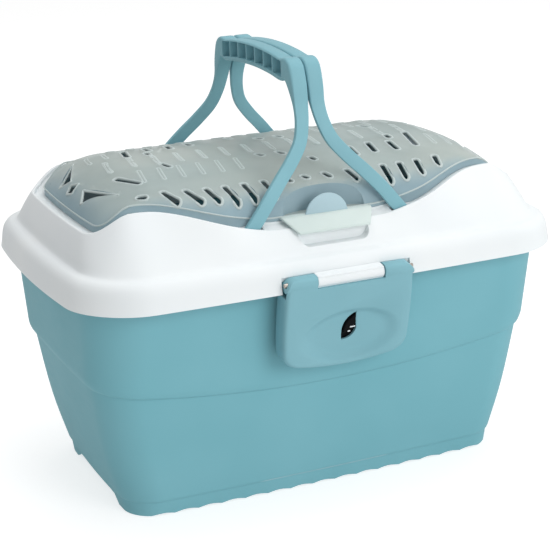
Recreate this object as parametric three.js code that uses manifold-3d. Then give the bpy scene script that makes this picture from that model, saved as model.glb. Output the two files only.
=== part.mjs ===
// A pet carrier with a latched lid, a slotted top door and two carrying bails.
// Millimetres, +Z up, +X along the long side, -Y towards the latch.
// The origin lies on the ground under the middle of the tub.
import * as THREE from 'three';
import { mergeVertices } from 'three/addons/utils/BufferGeometryUtils.js';
import Module from 'manifold-3d';

const wasm = await Module();
wasm.setup();

// Plan sizes of the tub, each measured from the middle to the outermost point of the outline
const rimHalfLength = 230;
const rimHalfWidth = 148.5;
const rimCorner = 46;
const ledgeBackEnd = 11;
const ledgeBackSide = 23;
const ledgeHalfLength = rimHalfLength - ledgeBackEnd;
const ledgeHalfWidth = rimHalfWidth - ledgeBackSide;
const ledgeCorner = 36;
const baseBackEnd = 27;
const baseBackSide = 19.5;
const baseHalfLength = ledgeHalfLength - baseBackEnd;
const baseHalfWidth = ledgeHalfWidth - baseBackSide;
const baseCorner = 27;
const tubEndBow = 7;
const tubSideBow = 4;

// The lid's lip reaches out past the tub's rim, and the foot and the upper edge of its dome stand in from it
const lipReachEnd = 15;
const lipReachSide = 17;
const lidHalfLength = rimHalfLength + lipReachEnd;
const lidHalfWidth = rimHalfWidth + lipReachSide;
const lidCorner = 56;
const lidEndBow = 12;
const lidSideBow = 4;
const domeFootBackEnd = 19;
const domeFootBackSide = 16.5;
const domeFootHalfLength = lidHalfLength - domeFootBackEnd;
const domeFootHalfWidth = lidHalfWidth - domeFootBackSide;
const domeFootCorner = 48;
const domeEndBow = 7;
const edgeBackEnd = 11;
const edgeBackSide = 16.5;
const edgeHalfLength = domeFootHalfLength - edgeBackEnd;
const edgeHalfWidth = domeFootHalfWidth - edgeBackSide;
const edgeCorner = 50;
const edgeEndBow = 5;
const edgeSideBow = 3;

// Heights above the ground, those of the lid counted up from the tub's rim
const skirtHeight = 14;
const ledgeHeight = 111;
const ledgeRise = 19;
const rimHeight = 222;
const lipDrop = 9;
const flangeRise = 18;
const saddleLowRise = 22;
const saddleEndRise = 8;
const saddlePeakRise = 26;
const crownRise = 45;
const lipHeight = rimHeight - lipDrop;
const flangeHeight = rimHeight + flangeRise;
const saddleLowHeight = flangeHeight + saddleLowRise;
const saddleEndHeight = saddleLowHeight + saddleEndRise;
const saddlePeakHeight = saddleLowHeight + saddlePeakRise;
const crownHeight = saddleLowHeight + crownRise;

// Walls and running clearances
const tubWall = 3;
const lidWall = 3;
const doorWall = 2.4;
const seatGap = 0.3;
const runGap = 0.5;
const overrun = 30;

// Tub details
const skirtStep = 2;
const ledgeStep = 5.5;
const ledgeBlend = 7;
const underHeight = 9;
const floorSeat = 4;
const fluteCount = 15;
const flutePitch = 23;
const fluteDepth = 1.6;
const fluteBite_share = 0.92;
const archHalfWidth = 66;
const archHeight = 8;
const footLength = 30;
const footWidth = 26;

// Saddle of the lid's front and rear edges, measured along X from the middle, or back from the edge's end
const saddleStart = 45;
const saddlePeakBack = 47;
const saddleFallBack = 39;
const saddlePeak = edgeHalfLength - saddlePeakBack;
const saddleFall = edgeHalfLength - saddleFallBack;
const pinchStart = 90;
const pinchDepth = 23;

// Ledge round the door, and the door's rest
const rimLandWidth = 2.5;
const rimDrop = 0.4;
const channelDepth = 3.5;
const ledgeLift = 4;
const ledgeLiftBefore = 18;
const ledgeLiftPast = 12;
const doorGap = 9;
const restWidth = 11;
const shoulderRise = 1.5;
const seatRibWidth = 7;

// Door crown
const crownSideRadius = 430;
const crownEndBack = 74;
const crownEndStart = edgeHalfLength - crownEndBack;
const crownEndRadius = 83;
const doorBandHeight = 8;
const doorBandPeakLoss = 4;
const doorShoulder = 14;

// Slots of the door
const slotWidth = 6.5;
const slotReach_share = 0.7764;
const slotLength = 24;
const slotLean_share = 0.1;
const slotRow_share = 0.775;
const slotPinch_share = 0.45;
// Each slot of the front row: its place as a share of the reach, and its length
const rowSlot_shares = [
  [-1, 0.35], [-0.885, 0.67], [-0.76, 0.75], [-0.64, 0.83], [-0.53, 0.96], [-0.42, 0.96], [-0.3, 0.96],
  [-0.16, 0.5], [-0.04, 0.36], [0.09, 0.38], [0.22, 0.6], [0.35, 0.95], [0.47, 0.96], [0.585, 0.83],
  [0.71, 0.78], [0.84, 0.65],
];
// Each slot over the top: where it starts and ends
const topSlot_shares = [
  [-0.81, 0.31, -0.75, 0.5], [-0.57, 0.17, -0.555, 0.26], [-0.12, 0.24, -0.11, 0.28], [-0.02, 0.25, -0.01, 0.3],
  [0.085, 0.47, 0.09, 0.51], [0.31, 0.36, 0.3, 0.52], [0.42, 0.32, 0.4, 0.51], [0.52, 0.35, 0.51, 0.52],
  [0.66, 0.18, 0.62, 0.49], [0.56, 0.18, 0.555, 0.25],
];
const wedgeSlot_shares = [[0.85, 0.56], [0.935, 0.21], [0.98, 0.21]];
const endSlot_shares = [[0.975, 0.07], [0.945, 0.1], [0.925, 0], [0.965, -0.03]];

// Front tab of the door and the finger scoop under it
const tabTopHalfWidth = 44;
const tabLowHalfWidth = 34.5;
const tabShelf = 6;
const tabReach = 15.8;
const tabDrop = 10.5;
const tabWall = 2.4;
const thumbRadius = 21;
const thumbSink = 4;
const thumbWall = 2.4;
const thumbPocketHalfWidth = 40;
const thumbPocketLength = 18;
const scoopHalfWidth = 34;
const scoopHeight = 16;
const scoopCorner = 9;
const scoopDepth = 12;

// Bails
const bailPivotX = 78;
const bailPivotBack = 6;
const bailPivotSink = 4;
const bailRise = 141;
const bailPivotY = edgeHalfWidth - bailPivotBack;
const bailPivotZ = saddleLowHeight - bailPivotSink;
const bailTop = bailPivotZ + bailRise;
const bailGripHalfLength = 76;
const bailLegWall = 5;
const bailFootRadius = 7.5;
const bailLegWidth = 12.5;
const bailGripWidth = 15.5;
const bailGripHeight = 21;
const bailGap = 0.4;
const bailArch = 6;
const bailBevel_share = 0.22;
const bailLeg_shares = [
  [1, 1, 0], [0.857, 0.996, 0.085], [0.686, 0.98, 0.191], [0.493, 0.94, 0.298], [0.286, 0.892, 0.404],
  [0.115, 0.84, 0.511], [0.036, 0.788, 0.617], [0.004, 0.74, 0.723], [0, 0.696, 0.83], [0, 0.65, 0.905],
  [0, 0.605, 0.945],
];
const bailGrip_shares = [0.84, 0.6, 0.3, 0];
const gripChannelDepth = 10;
const gripRim = 3;
const gripRibs = 6;
const gripRibWall = 1.6;
const gripChannelHalfLength = 62;
const bailPinRadius = 2.5;
const bailPocketInner = 15;
const bailPocketOuter = 31;
const pocketWall = 2.6;

// Pins of the door, the lid and the latch
const pinRadius = 2;
const pinClearance = 0.3;
const doorHingeX = 27;
const doorHingeZ = saddleLowHeight + ledgeLift;
const doorKnuckleRadius = 4;
const doorKnuckleLength = 14;
const doorCheekLength = 5.5;
const lidHingeX = 95;
const lidHingeRise = 4;
const lidHingeZ = rimHeight + lidHingeRise;
const lidKnuckleRadius = 5.2;
const lidKnuckleLength = 26;
const tubKnuckleLength = 12;

// Latch
const latchReach = 2.5;
const latchY = lidHalfWidth + latchReach;
const latchZ = rimHeight;
const latchTilt = 0.195;
const latchBridgeDrop = 4.8;
const latchEarRadius = 7;
const latchKnuckleRadius = 5.5;
const latchKnuckleHalfLength = 28;
const latchEarInner = 29;
const latchHalfWidth = 66.5;
const latchLowHalfWidth = 57;
const latchDrop = 79;
const latchCorner = 15;
const latchBulge = 2.5;
const latchWall = 3;
const latchDepth = 12.3;
const latchWallTop = 12;
const dishHalfWidth = 44;
const dishHalfHeight = 23.5;
const dishDepth = 5;
const dishDrop = 58.5;
const windowHalfWidth = 7;
const windowTopDrop = 38;
const windowLowDrop = 62;
const slideHalfWidth = 11.8;
const slideTopDrop = 29;
const slideLowDrop = 63.5;
const slideWall = 3;
const slideFront = 1.6;
const slideTravel = 7;
const thumbPadHalfWidth = 5;
const thumbPadHeight = 14;
const thumbPadRise = 4.4;
const keeperHalfWidth = 20;
const keeperHalfHeight = 11;
const keeperWall = 1.6;
const armHalfWidth = 3;
const armWall = 3;
const armDrop = 46;
const fingerWall = 2.4;
const fingerLength = 10;
const catchWall = 2;
const catchHalfWidth = 9;
const catchClear = 1.4;
const screwX = 15.6;
const screwRadius = 1.4;
const screwHeadRadius = 2.8;
const screwHeadHeight = 1.5;
const screwEngage = 4;
const bossRadius = 3.2;
const snapHeight = 3;
const snapHalfWidth = 42;

// Facets
const cornerSteps = 5;
const endSteps = 6;
const sideSteps = 10;
const roundSteps = 16;
const capSteps = 5;
const slotSteps = 1;

// Finishes
const teal = new THREE.Color(0.3, 0.52, 0.58);
const white = new THREE.Color(0.93, 0.95, 0.96);
const frost = new THREE.Color(0.62, 0.69, 0.68);
const black = new THREE.Color(0.03, 0.03, 0.035);
const steel = new THREE.Color(0.55, 0.52, 0.48);
const plasticRoughness = 0.45;
const frostRoughness = 0.55;
const frostOpacity = 0.7;
const steelRoughness = 0.35;

function smooth(value, from, to) {
  const t = Math.min(Math.max((value - from) / (to - from), 0), 1);
  return t * t * (3 - 2 * t);
}

// Share of the way from the middle of a long edge up to its hump
const humpShare = (x) => smooth(Math.abs(x), saddleStart, saddlePeak);

// Height of the lid's upper edge at a place along X
function saddleZ(x) {
  const rise = (saddlePeakHeight - saddleLowHeight) * humpShare(x);
  const fall = (saddlePeakHeight - saddleEndHeight) * smooth(Math.abs(x), saddleFall, edgeHalfLength);
  return saddleLowHeight + rise - fall;
}

// Smooth top of the door before its shoulder is rounded down
function crownZ(x, y) {
  const past = Math.max(Math.abs(x) - crownEndStart, 0);
  return crownHeight - (y * y) / (2 * crownSideRadius) - (past * past) / (2 * crownEndRadius);
}

// Plan outline of a rounded rectangle with bowed sides, counterclockwise, in one fixed order of points
function outline({ length, width, corner, endBow, sideBow, pinch = 0 }) {
  const ax = length - endBow;
  const by = width - sideBow;
  const turns = [[1, -1], [1, 1], [-1, 1], [-1, -1]];
  const points = [];
  turns.forEach(([sx, sy], k) => {
    const start = (k - 1) * Math.PI / 2;
    const arc = (angle, tx, ty) => [
      tx * (ax - corner) + corner * Math.cos(angle), ty * (by - corner) + corner * Math.sin(angle)];
    for (let i = 0; i <= cornerSteps; i++) {
      points.push(arc(start + (Math.PI / 2) * (i / cornerSteps), sx, sy));
    }
    const from = points.at(-1);
    const next = turns[(k + 1) % turns.length];
    const to = arc(start + Math.PI / 2, next[0], next[1]);
    const steps = k % 2 === 0 ? endSteps : sideSteps;
    for (let i = 1; i < steps; i++) {
      points.push([0, 1].map((axis) => from[axis] + (to[axis] - from[axis]) * (i / steps)));
    }
  });
  return points.map(([x, y]) => {
    const nearSide = Math.min(Math.abs(y) / by, 1) ** 4;
    const nearEnd = Math.min(Math.abs(x) / ax, 1) ** 4;
    const bowedY = sideBow * (1 - (x / ax) ** 2) * nearSide;
    const bowedX = endBow * (1 - (y / by) ** 2) * nearEnd;
    const pinched = pinch * smooth(Math.abs(x), pinchStart, saddlePeak) * nearSide;
    return [x + Math.sign(x) * bowedX, y + Math.sign(y) * (bowedY - pinched)];
  });
}

// A ring of points: a plan outline lifted to a height, which may change along the outline
function ring(plan, height) {
  const z = typeof height === 'function' ? height : () => height;
  return outline(plan).map(([x, y], j) => new THREE.Vector3(x, y, z(x, y, j)));
}

// The plan of one outline drawn in at its ends and sides
function inset(plan, by, sides = by) {
  return { ...plan, length: plan.length - by, width: plan.width - sides,
    corner: Math.max(plan.corner - by, plan.corner / 4) };
}

// The plan part of the way from one outline to another
function between(a, b, share) {
  const mix = (key) => (a[key] ?? 0) + ((b[key] ?? 0) - (a[key] ?? 0)) * share;
  return Object.fromEntries(Object.keys({ ...a, ...b }).map((key) => [key, mix(key)]));
}

// Skins rings of equal point counts. An open loft is capped, a looped one closes on its first ring.
function loft(rings, looped = false) {
  const count = rings[0].length;
  const positions = rings.flat().flatMap((p) => [p.x, p.y, p.z]);
  const index = [];
  const bands = looped ? rings.length : rings.length - 1;
  for (let i = 0; i < bands; i++) {
    const low = i * count;
    const high = ((i + 1) % rings.length) * count;
    for (let j = 0; j < count; j++) {
      const k = (j + 1) % count;
      index.push(low + j, low + k, high + k, low + j, high + k, high + j);
    }
  }
  const caps = looped ? [] : [[0, true], [rings.length - 1, false]];
  for (const [at, down] of caps) {
    const middle = new THREE.Vector3();
    rings[at].forEach((p) => middle.addScaledVector(p, 1 / count));
    const hub = positions.length / 3;
    positions.push(middle.x, middle.y, middle.z);
    for (let j = 0; j < count; j++) {
      const k = (j + 1) % count;
      index.push(hub, at * count + (down ? k : j), at * count + (down ? j : k));
    }
  }
  const geometry = new THREE.BufferGeometry();
  geometry.setAttribute('position', new THREE.Float32BufferAttribute(positions, 3));
  geometry.setIndex(index);
  return solid(geometry);
}

// A closed three.js geometry as a solid that can be joined and cut
function solid(geometry) {
  const bare = geometry.clone();
  const extras = Object.keys(bare.attributes).filter((name) => name !== 'position');
  extras.forEach((name) => bare.deleteAttribute(name));
  const merged = mergeVertices(bare);
  return new wasm.Manifold(new wasm.Mesh({
    numProp: 3,
    vertProperties: merged.attributes.position.array,
    triVerts: Uint32Array.from(merged.index.array),
  }));
}

function geometryOf(body) {
  const mesh = body.getMesh();
  const geometry = new THREE.BufferGeometry();
  geometry.setAttribute('position', new THREE.BufferAttribute(mesh.vertProperties, 3));
  geometry.setIndex(new THREE.BufferAttribute(mesh.triVerts, 1));
  geometry.computeVertexNormals();
  return geometry;
}

// A box given by its low and high corners
function block(low, high) {
  const size = low.map((v, i) => high[i] - v);
  const middle = low.map((v, i) => (high[i] + v) / 2);
  return solid(new THREE.BoxGeometry(...size).translate(...middle));
}

// A cylinder along one axis, from one end to the other, round a centre in the other two
function rod(axis, from, to, radius, centre, steps = roundSteps) {
  const geometry = new THREE.CylinderGeometry(radius, radius, to - from, steps);
  geometry.translate(0, (from + to) / 2, 0);
  if (axis === 'x') geometry.rotateZ(-Math.PI / 2).translate(0, centre[0], centre[1]);
  if (axis === 'y') geometry.translate(centre[0], 0, centre[1]);
  return solid(geometry);
}

// A flat shape of X and Z pulled along Y
function pulledY(shape, from, to, steps = capSteps) {
  const geometry = new THREE.ExtrudeGeometry(shape, {
    depth: to - from, bevelEnabled: false, curveSegments: steps });
  return solid(geometry.rotateX(Math.PI / 2).translate(0, to, 0));
}

// A flat shape of Y and Z pulled along X
function pulledX(shape, from, to) {
  const geometry = new THREE.ExtrudeGeometry(shape, {
    depth: to - from, bevelEnabled: false, curveSegments: capSteps });
  return solid(geometry.rotateX(Math.PI / 2).rotateZ(Math.PI / 2).translate(from, 0, 0));
}

// A flat shape of X and Y pulled upwards
function pulledZ(shape, from, to, steps = capSteps) {
  const geometry = new THREE.ExtrudeGeometry(shape, {
    depth: to - from, bevelEnabled: false, curveSegments: steps });
  return solid(geometry.translate(0, 0, from));
}

const join = (...bodies) => bodies.reduce((all, body) => all.add(body));
const cut = (body, ...tools) => tools.reduce((rest, tool) => rest.subtract(tool), body);
const bothEnds = (body) => [body, body.scale([-1, 1, 1])];
const fourCorners = (body) => bothEnds(body).flatMap((half) => [half, half.scale([1, -1, 1])]);

// Plans shared by the pieces
const lipPlan = { length: lidHalfLength, width: lidHalfWidth, corner: lidCorner,
  endBow: lidEndBow, sideBow: lidSideBow };
const footPlan = { length: domeFootHalfLength, width: domeFootHalfWidth, corner: domeFootCorner,
  endBow: domeEndBow, sideBow: lidSideBow };
const edgePlan = { length: edgeHalfLength, width: edgeHalfWidth, corner: edgeCorner,
  endBow: edgeEndBow, sideBow: edgeSideBow, pinch: pinchDepth };
const rimPlan = { length: rimHalfLength, width: rimHalfWidth, corner: rimCorner,
  endBow: tubEndBow, sideBow: tubSideBow };
const ledgePlan = { length: ledgeHalfLength, width: ledgeHalfWidth, corner: ledgeCorner,
  endBow: tubEndBow / 2, sideBow: tubSideBow };
const basePlan = { length: baseHalfLength, width: baseHalfWidth, corner: baseCorner,
  endBow: tubEndBow / 2, sideBow: tubSideBow };
const doorPlan = inset(edgePlan, rimLandWidth + doorGap);
const openingPlan = inset(doorPlan, restWidth);

// Heights that follow the lid's edge, one for each point of an outline
const edgeXs = outline(edgePlan).map(([x]) => x);
const edgeZ = (x, y, j) => saddleZ(edgeXs[j]);
const ledgeLiftInner = bailPivotX - ledgeLiftBefore;
const ledgeLiftOuter = bailPivotX + ledgeLiftPast;
const channelShare = (j) => smooth(Math.abs(edgeXs[j]), ledgeLiftInner, ledgeLiftOuter);
const channelZ = (x, y, j) => edgeZ(x, y, j) - rimDrop - (channelDepth - rimDrop) * channelShare(j);
const landZ = (x, y, j) => edgeZ(x, y, j) + ledgeLift - (ledgeLift + channelDepth) * channelShare(j);
const bandZ = (x, y, j) => edgeZ(x, y, j) + doorBandHeight - doorBandPeakLoss * humpShare(edgeXs[j]);

// Heights of the front ledge and of the door's front band, in the middle
const ledgeTop = saddleLowHeight + ledgeLift;
const bandTop = saddleLowHeight + doorBandHeight;

// Height of the wavy ledge round the tub
const ledgeZ = (x) => ledgeHeight + ledgeRise * (x / ledgeHalfLength) ** 2;

// The latch works in a leaning frame of its own, whose origin is the latch pin's axis
const latchFrame = new THREE.Matrix4().makeRotationX(latchTilt).setPosition(0, -latchY, latchZ);
const placed = (body) => body.transform(latchFrame.elements);

// Depths in the latch frame, counted back from the pin's axis
const slideBack = slideFront + slideWall;
const keeperFront = slideBack + seatGap;
const keeperBack = keeperFront + keeperWall;
const catchFront = keeperBack + runGap;
const catchBack = catchFront + catchWall;
const fingerFront = catchBack + runGap;
const fingerBack = fingerFront + fingerWall;
const hookBack = catchFront - runGap;

// Drops in the latch frame, counted down from the pin's axis
const catchTopDrop = armDrop + fingerLength + catchClear;
const shelfTopDrop = catchTopDrop + slideTravel + runGap;
const screwDrop = armDrop + armWall;
const hookTopDrop = slideLowDrop + slideTravel + runGap;

// Rear hinges of the lid stand as far out as the front of the latch
const lidHingeY = latchY + latchEarRadius - lidKnuckleRadius;

// Rear hinges of the door lie in the channel between the door and the lid's edge
const doorHingeY = edgeHalfWidth - rimLandWidth - doorKnuckleRadius - runGap;

function makeTub() {
  const belly = 1 / 2;
  const lowerPlan = between(basePlan, ledgePlan, belly);
  const upperPlan = (share) => between(inset(ledgePlan, -ledgeStep), rimPlan, share);
  const upperZ = (share) => (x) => {
    const low = ledgeZ(x) + ledgeBlend;
    return low + (rimHeight - low) * share;
  };
  const shares = [0, 1 / 3, 2 / 3, 1];
  const floorHeight = underHeight + tubWall;
  const rings = [
    ring(inset(basePlan, tubWall + floorSeat), underHeight),
    ring(inset(basePlan, tubWall), underHeight),
    ring(inset(basePlan, tubWall), 0),
    ring(basePlan, 0),
    ring(inset(basePlan, -skirtStep), skirtHeight),
    ring(inset(basePlan, -2 * skirtStep), skirtHeight + skirtStep),
    ring(inset(lowerPlan, -2 * skirtStep, -skirtStep), (x) => ledgeZ(x) * belly),
    ring(ledgePlan, ledgeZ),
    ring(inset(ledgePlan, -ledgeStep * belly), (x) => ledgeZ(x) + ledgeBlend * belly / 2),
    ...shares.map((share) => ring(upperPlan(share), upperZ(share))),
    ...shares.toReversed().map((share) => ring(inset(upperPlan(share), tubWall), upperZ(share))),
    ring(inset(ledgePlan, tubWall), (x) => ledgeZ(x) + ledgeBlend * belly / 2),
    ring(inset(lowerPlan, tubWall - 2 * skirtStep, tubWall - skirtStep), (x) => ledgeZ(x) * belly),
    ring(inset(basePlan, tubWall - 2 * skirtStep), floorHeight + 2 * tubWall),
    ring(inset(basePlan, tubWall), floorHeight),
    ring(inset(basePlan, tubWall + floorSeat), floorHeight),
  ];
  const shell = cut(loft(rings, true), ...makeFlutes(), ...makeArches());
  return shell.add(makeTubKnuckles().subtract(tubSpace(tubWall / 2)));
}

// Floor of the tub, which fills the opening that the walls leave, with a foot under each of its corners
function makeTubFloor() {
  const plan = inset(basePlan, tubWall + floorSeat + seatGap);
  const footX = baseHalfLength - baseCorner / 2 - footLength;
  const footY = baseHalfWidth - baseCorner / 2 - footWidth;
  const foot = block([footX, footY, 0], [footX + footLength, footY + footWidth, underHeight + seatGap])
    .intersect(loft([ring(plan, 0), ring(plan, underHeight + seatGap)]));
  return join(loft([ring(plan, underHeight), ring(plan, underHeight + tubWall)]), ...fourCorners(foot));
}

// Shallow round bites along the lower edges of the long sides
function makeFlutes() {
  const half = flutePitch * fluteBite_share / 2;
  const inside = baseHalfWidth - baseCorner / 2;
  const flutes = [];
  for (let i = 0; i < fluteCount; i++) {
    const x = (i - (fluteCount - 1) / 2) * flutePitch;
    const points = [[x + half, -fluteDepth], [x - half, -fluteDepth]];
    for (let k = 0; k <= capSteps + 1; k++) {
      const t = (2 * k) / (capSteps + 1) - 1;
      points.push([x + half * t, fluteDepth * (1 - t * t)]);
    }
    const shape = new THREE.Shape(points.map(([px, pz]) => new THREE.Vector2(px, pz)));
    flutes.push(pulledY(shape, inside, inside + overrun), pulledY(shape, -inside - overrun, -inside));
  }
  return flutes;
}

// The skirt is cut away between the feet at both ends
function makeArches() {
  const shape = new THREE.Shape();
  shape.moveTo(-archHalfWidth, -archHeight);
  shape.lineTo(-archHalfWidth, 0);
  shape.quadraticCurveTo(-archHalfWidth, archHeight, -archHalfWidth + 2 * archHeight, archHeight);
  shape.lineTo(archHalfWidth - 2 * archHeight, archHeight);
  shape.quadraticCurveTo(archHalfWidth, archHeight, archHalfWidth, 0);
  shape.lineTo(archHalfWidth, -archHeight);
  const start = baseHalfLength - baseCorner / 2;
  return bothEnds(pulledX(shape, start, start + overrun));
}

// Upturned catch on the tub's front wall that the lock slide's finger drops behind
function makeCatch() {
  const low = shelfTopDrop + catchWall;
  const lip = block([-catchHalfWidth, catchFront, -low], [catchHalfWidth, catchBack, -catchTopDrop]);
  const shelf = block([-catchHalfWidth, catchFront, -low], [catchHalfWidth, catchFront + overrun, -shelfTopDrop]);
  return placed(lip.add(shelf)).subtract(tubSpace(-seatGap));
}

// Rib across the tub's front wall behind the latch's lower edge
function makeSnapRib() {
  const low = latchDrop - latchWall;
  const rib = block([-snapHalfWidth, hookBack + runGap, -low],
    [snapHalfWidth, hookBack + overrun, -low + snapHeight]);
  return placed(rib).subtract(tubSpace(-seatGap));
}

// The space within the tub's upper wall, taken some depth into the wall from its outer face
function tubSpace(depth) {
  const low = ledgeHeight + ledgeBlend;
  return loft([ring(inset(ledgePlan, depth), low / 2), ring(inset(ledgePlan, depth - ledgeStep), low),
    ring(inset(rimPlan, depth), rimHeight), ring(inset(rimPlan, depth), rimHeight + overrun)]);
}

// Arms that reach out under the lid's lip to the pins of the rear hinges
function makeTubKnuckles() {
  const at = [lidHingeY, lidHingeZ];
  const armTop = lipHeight - lidWall;
  const arm = new THREE.Shape();
  arm.moveTo(rimHalfWidth - lidKnuckleLength, armTop - lidKnuckleLength);
  arm.lineTo(lidHingeY + lidKnuckleRadius, armTop - lidKnuckleRadius);
  arm.lineTo(lidHingeY + lidKnuckleRadius, lidHingeZ);
  arm.lineTo(lidHingeY - lidKnuckleRadius, lidHingeZ);
  arm.lineTo(lidHingeY - lidKnuckleRadius, armTop);
  arm.lineTo(rimHalfWidth - lidKnuckleLength, armTop);
  const near = lidKnuckleLength / 2 + runGap;
  const knuckles = [lidHingeX + near, lidHingeX - near - tubKnuckleLength].map((from) => {
    const to = from + tubKnuckleLength;
    const solidKnuckle = join(pulledX(arm, from, to), rod('x', from, to, lidKnuckleRadius, at));
    return solidKnuckle.subtract(rod('x', from - overrun, to + overrun, pinRadius + pinClearance, at));
  });
  return join(...knuckles.flatMap(bothEnds));
}

function makeLid() {
  const wall = (share) => between(footPlan, edgePlan, share);
  const foot = flangeHeight + shoulderRise;
  const wallZ = (share, drop = 0) => (x, y, j) => foot + (edgeZ(x, y, j) - foot) * share - drop;
  const flange = flangeHeight - lipHeight;
  const seatZ = rimHeight + seatGap;
  const third = 1 / 3;
  // Shares of the flange's height with the inset of its rounded profile, in walls
  const flange_shares = [[0, 0], [0.17, 0.25], [0.6, 0.8], [0.82, 1.6], [0.96, 3]];
  const flangePlan = inset(lipPlan, flange_shares.at(-1)[1] * lidWall);
  const outer = [
    ...flange_shares.map(([up, back]) => ring(inset(lipPlan, back * lidWall), lipHeight + flange * up)),
    ring(between(flangePlan, footPlan, 2 * third), flangeHeight),
    ring(footPlan, foot),
    ring(inset(wall(third), -lidWall / 3), wallZ(third)),
    ring(inset(wall(2 * third), -lidWall / 3), wallZ(2 * third)),
    ring(edgePlan, (x, y, j) => edgeZ(x, y, j) - rimDrop * 2),
    ring(inset(edgePlan, rimLandWidth / 2), edgeZ),
    ring(inset(edgePlan, rimLandWidth), channelZ),
    ring(doorPlan, landZ),
    ring(inset(doorPlan, doorWall), landZ),
    ring(openingPlan, landZ),
  ];
  const under = (z) => (x, y, j) => z(x, y, j) - lidWall;
  const seatPlan = inset(rimPlan, seatRibWidth - lidWall / 2);
  const inner = [
    ring(openingPlan, under(landZ)),
    ring(doorPlan, under(landZ)),
    ring(inset(edgePlan, 2 * lidWall), under(channelZ)),
    ring(inset(wall(2 * third), lidWall), wallZ(2 * third, lidWall)),
    ring(inset(wall(third), lidWall), wallZ(third, lidWall / 2)),
    ring(seatPlan, flangeHeight),
    ring(seatPlan, seatZ),
    ring(inset(rimPlan, -lidWall / 2), seatZ),
    ring(inset(rimPlan, -lidWall / 2), flangeHeight - lidWall),
    ring(inset(lipPlan, 3.4 * lidWall), flangeHeight - 1.4 * lidWall),
    ring(inset(lipPlan, 2 * lidWall), lipHeight + flange * flange_shares[2][0]),
    ring(inset(lipPlan, lidWall), lipHeight),
  ];
  const envelope = loft(outer);
  let body = loft([...outer, ...inner], true);
  body = addBailPockets(body, envelope);
  body = addDoorCheeks(body, envelope);
  body = addScoop(body, envelope);
  body = addLatchSeat(body);
  return addLidKnuckles(body);
}

// Pockets in the ledge for the feet of the bails, open at the top
function addBailPockets(lid, envelope) {
  const low = bailPivotY - bailLegWall / 2 - runGap;
  const high = bailPivotY + bailLegWall / 2 + runGap;
  const bottom = bailPivotZ - bailFootRadius - runGap;
  const lining = block([bailPivotX - bailPocketInner - pocketWall, low - pocketWall, bottom - pocketWall],
    [bailPivotX + bailPocketOuter + pocketWall, high + pocketWall, ledgeTop]);
  // The hollow narrows outwards, as the folded leg leans towards the middle
  const turn = bailPivotX + bailPocketInner;
  const drawnIn = (high - low) / 3;
  const shape = new THREE.Shape([[bailPivotX - bailPocketInner, low], [bailPivotX, low],
    [bailPivotX + bailPocketOuter, low - drawnIn], [bailPivotX + bailPocketOuter, high - drawnIn],
    [turn, high], [bailPivotX - bailPocketInner, high]].map(([x, y]) => new THREE.Vector2(x, y)));
  const hollow = pulledZ(shape, bottom, saddlePeakHeight);
  const hole = rod('y', low - pocketWall - runGap, high + pocketWall / 2, bailPinRadius + pinClearance,
    [bailPivotX, bailPivotZ]);
  const lined = join(lid, ...fourCorners(lining).map((body) => body.intersect(envelope)));
  return cut(lined, ...fourCorners(hollow), ...fourCorners(hole));
}

// Cheeks on the rear ledge that hold the door's pins, with a slot for each door knuckle
function addDoorCheeks(lid, envelope) {
  const clear = doorKnuckleRadius + runGap;
  const half = doorKnuckleLength / 2 + runGap;
  const outerX = half + doorCheekLength;
  const at = [doorHingeY, doorHingeZ];
  const lining = block([doorHingeX - outerX, doorHingeY - clear - doorCheekLength, doorHingeZ - clear - lidWall],
    [doorHingeX + outerX, doorHingeY + clear, ledgeTop]);
  const cheek = join(rod('x', doorHingeX - outerX, doorHingeX + outerX, doorKnuckleRadius, at),
    block([doorHingeX - outerX, doorHingeY - doorKnuckleRadius, doorHingeZ - clear],
      [doorHingeX + outerX, doorHingeY + doorKnuckleRadius, doorHingeZ]));
  const slot = join(rod('x', doorHingeX - half, doorHingeX + half, clear, at),
    block([doorHingeX - half, doorHingeY - clear, doorHingeZ],
      [doorHingeX + half, doorHingeY + clear, doorHingeZ + overrun]));
  const hole = rod('x', doorHingeX - outerX - runGap, doorHingeX + outerX + runGap,
    pinRadius + pinClearance, at);
  const added = [...bothEnds(lining).map((body) => body.intersect(envelope)), ...bothEnds(cheek)];
  return cut(join(lid, ...added), ...bothEnds(slot), ...bothEnds(hole));
}

// Finger scoop in the front wall under the door's tab
function addScoop(lid, envelope) {
  const low = saddleLowHeight - scoopHeight;
  const back = edgeHalfWidth + lidWall;
  const shape = new THREE.Shape();
  shape.moveTo(-scoopHalfWidth, saddlePeakHeight);
  shape.lineTo(-scoopHalfWidth, low + scoopCorner);
  shape.quadraticCurveTo(-scoopHalfWidth, low, -scoopHalfWidth + scoopCorner, low);
  shape.lineTo(scoopHalfWidth - scoopCorner, low);
  shape.quadraticCurveTo(scoopHalfWidth, low, scoopHalfWidth, low + scoopCorner);
  shape.lineTo(scoopHalfWidth, saddlePeakHeight);
  const scoop = pulledY(shape, -back - scoopDepth, -back);
  const lining = block([-scoopHalfWidth - lidWall, -back - scoopDepth, low - lidWall],
    [scoopHalfWidth + lidWall, -back + lidWall, saddleLowHeight - lidWall]);
  return cut(lid.add(lining.intersect(envelope)), scoop);
}

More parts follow.
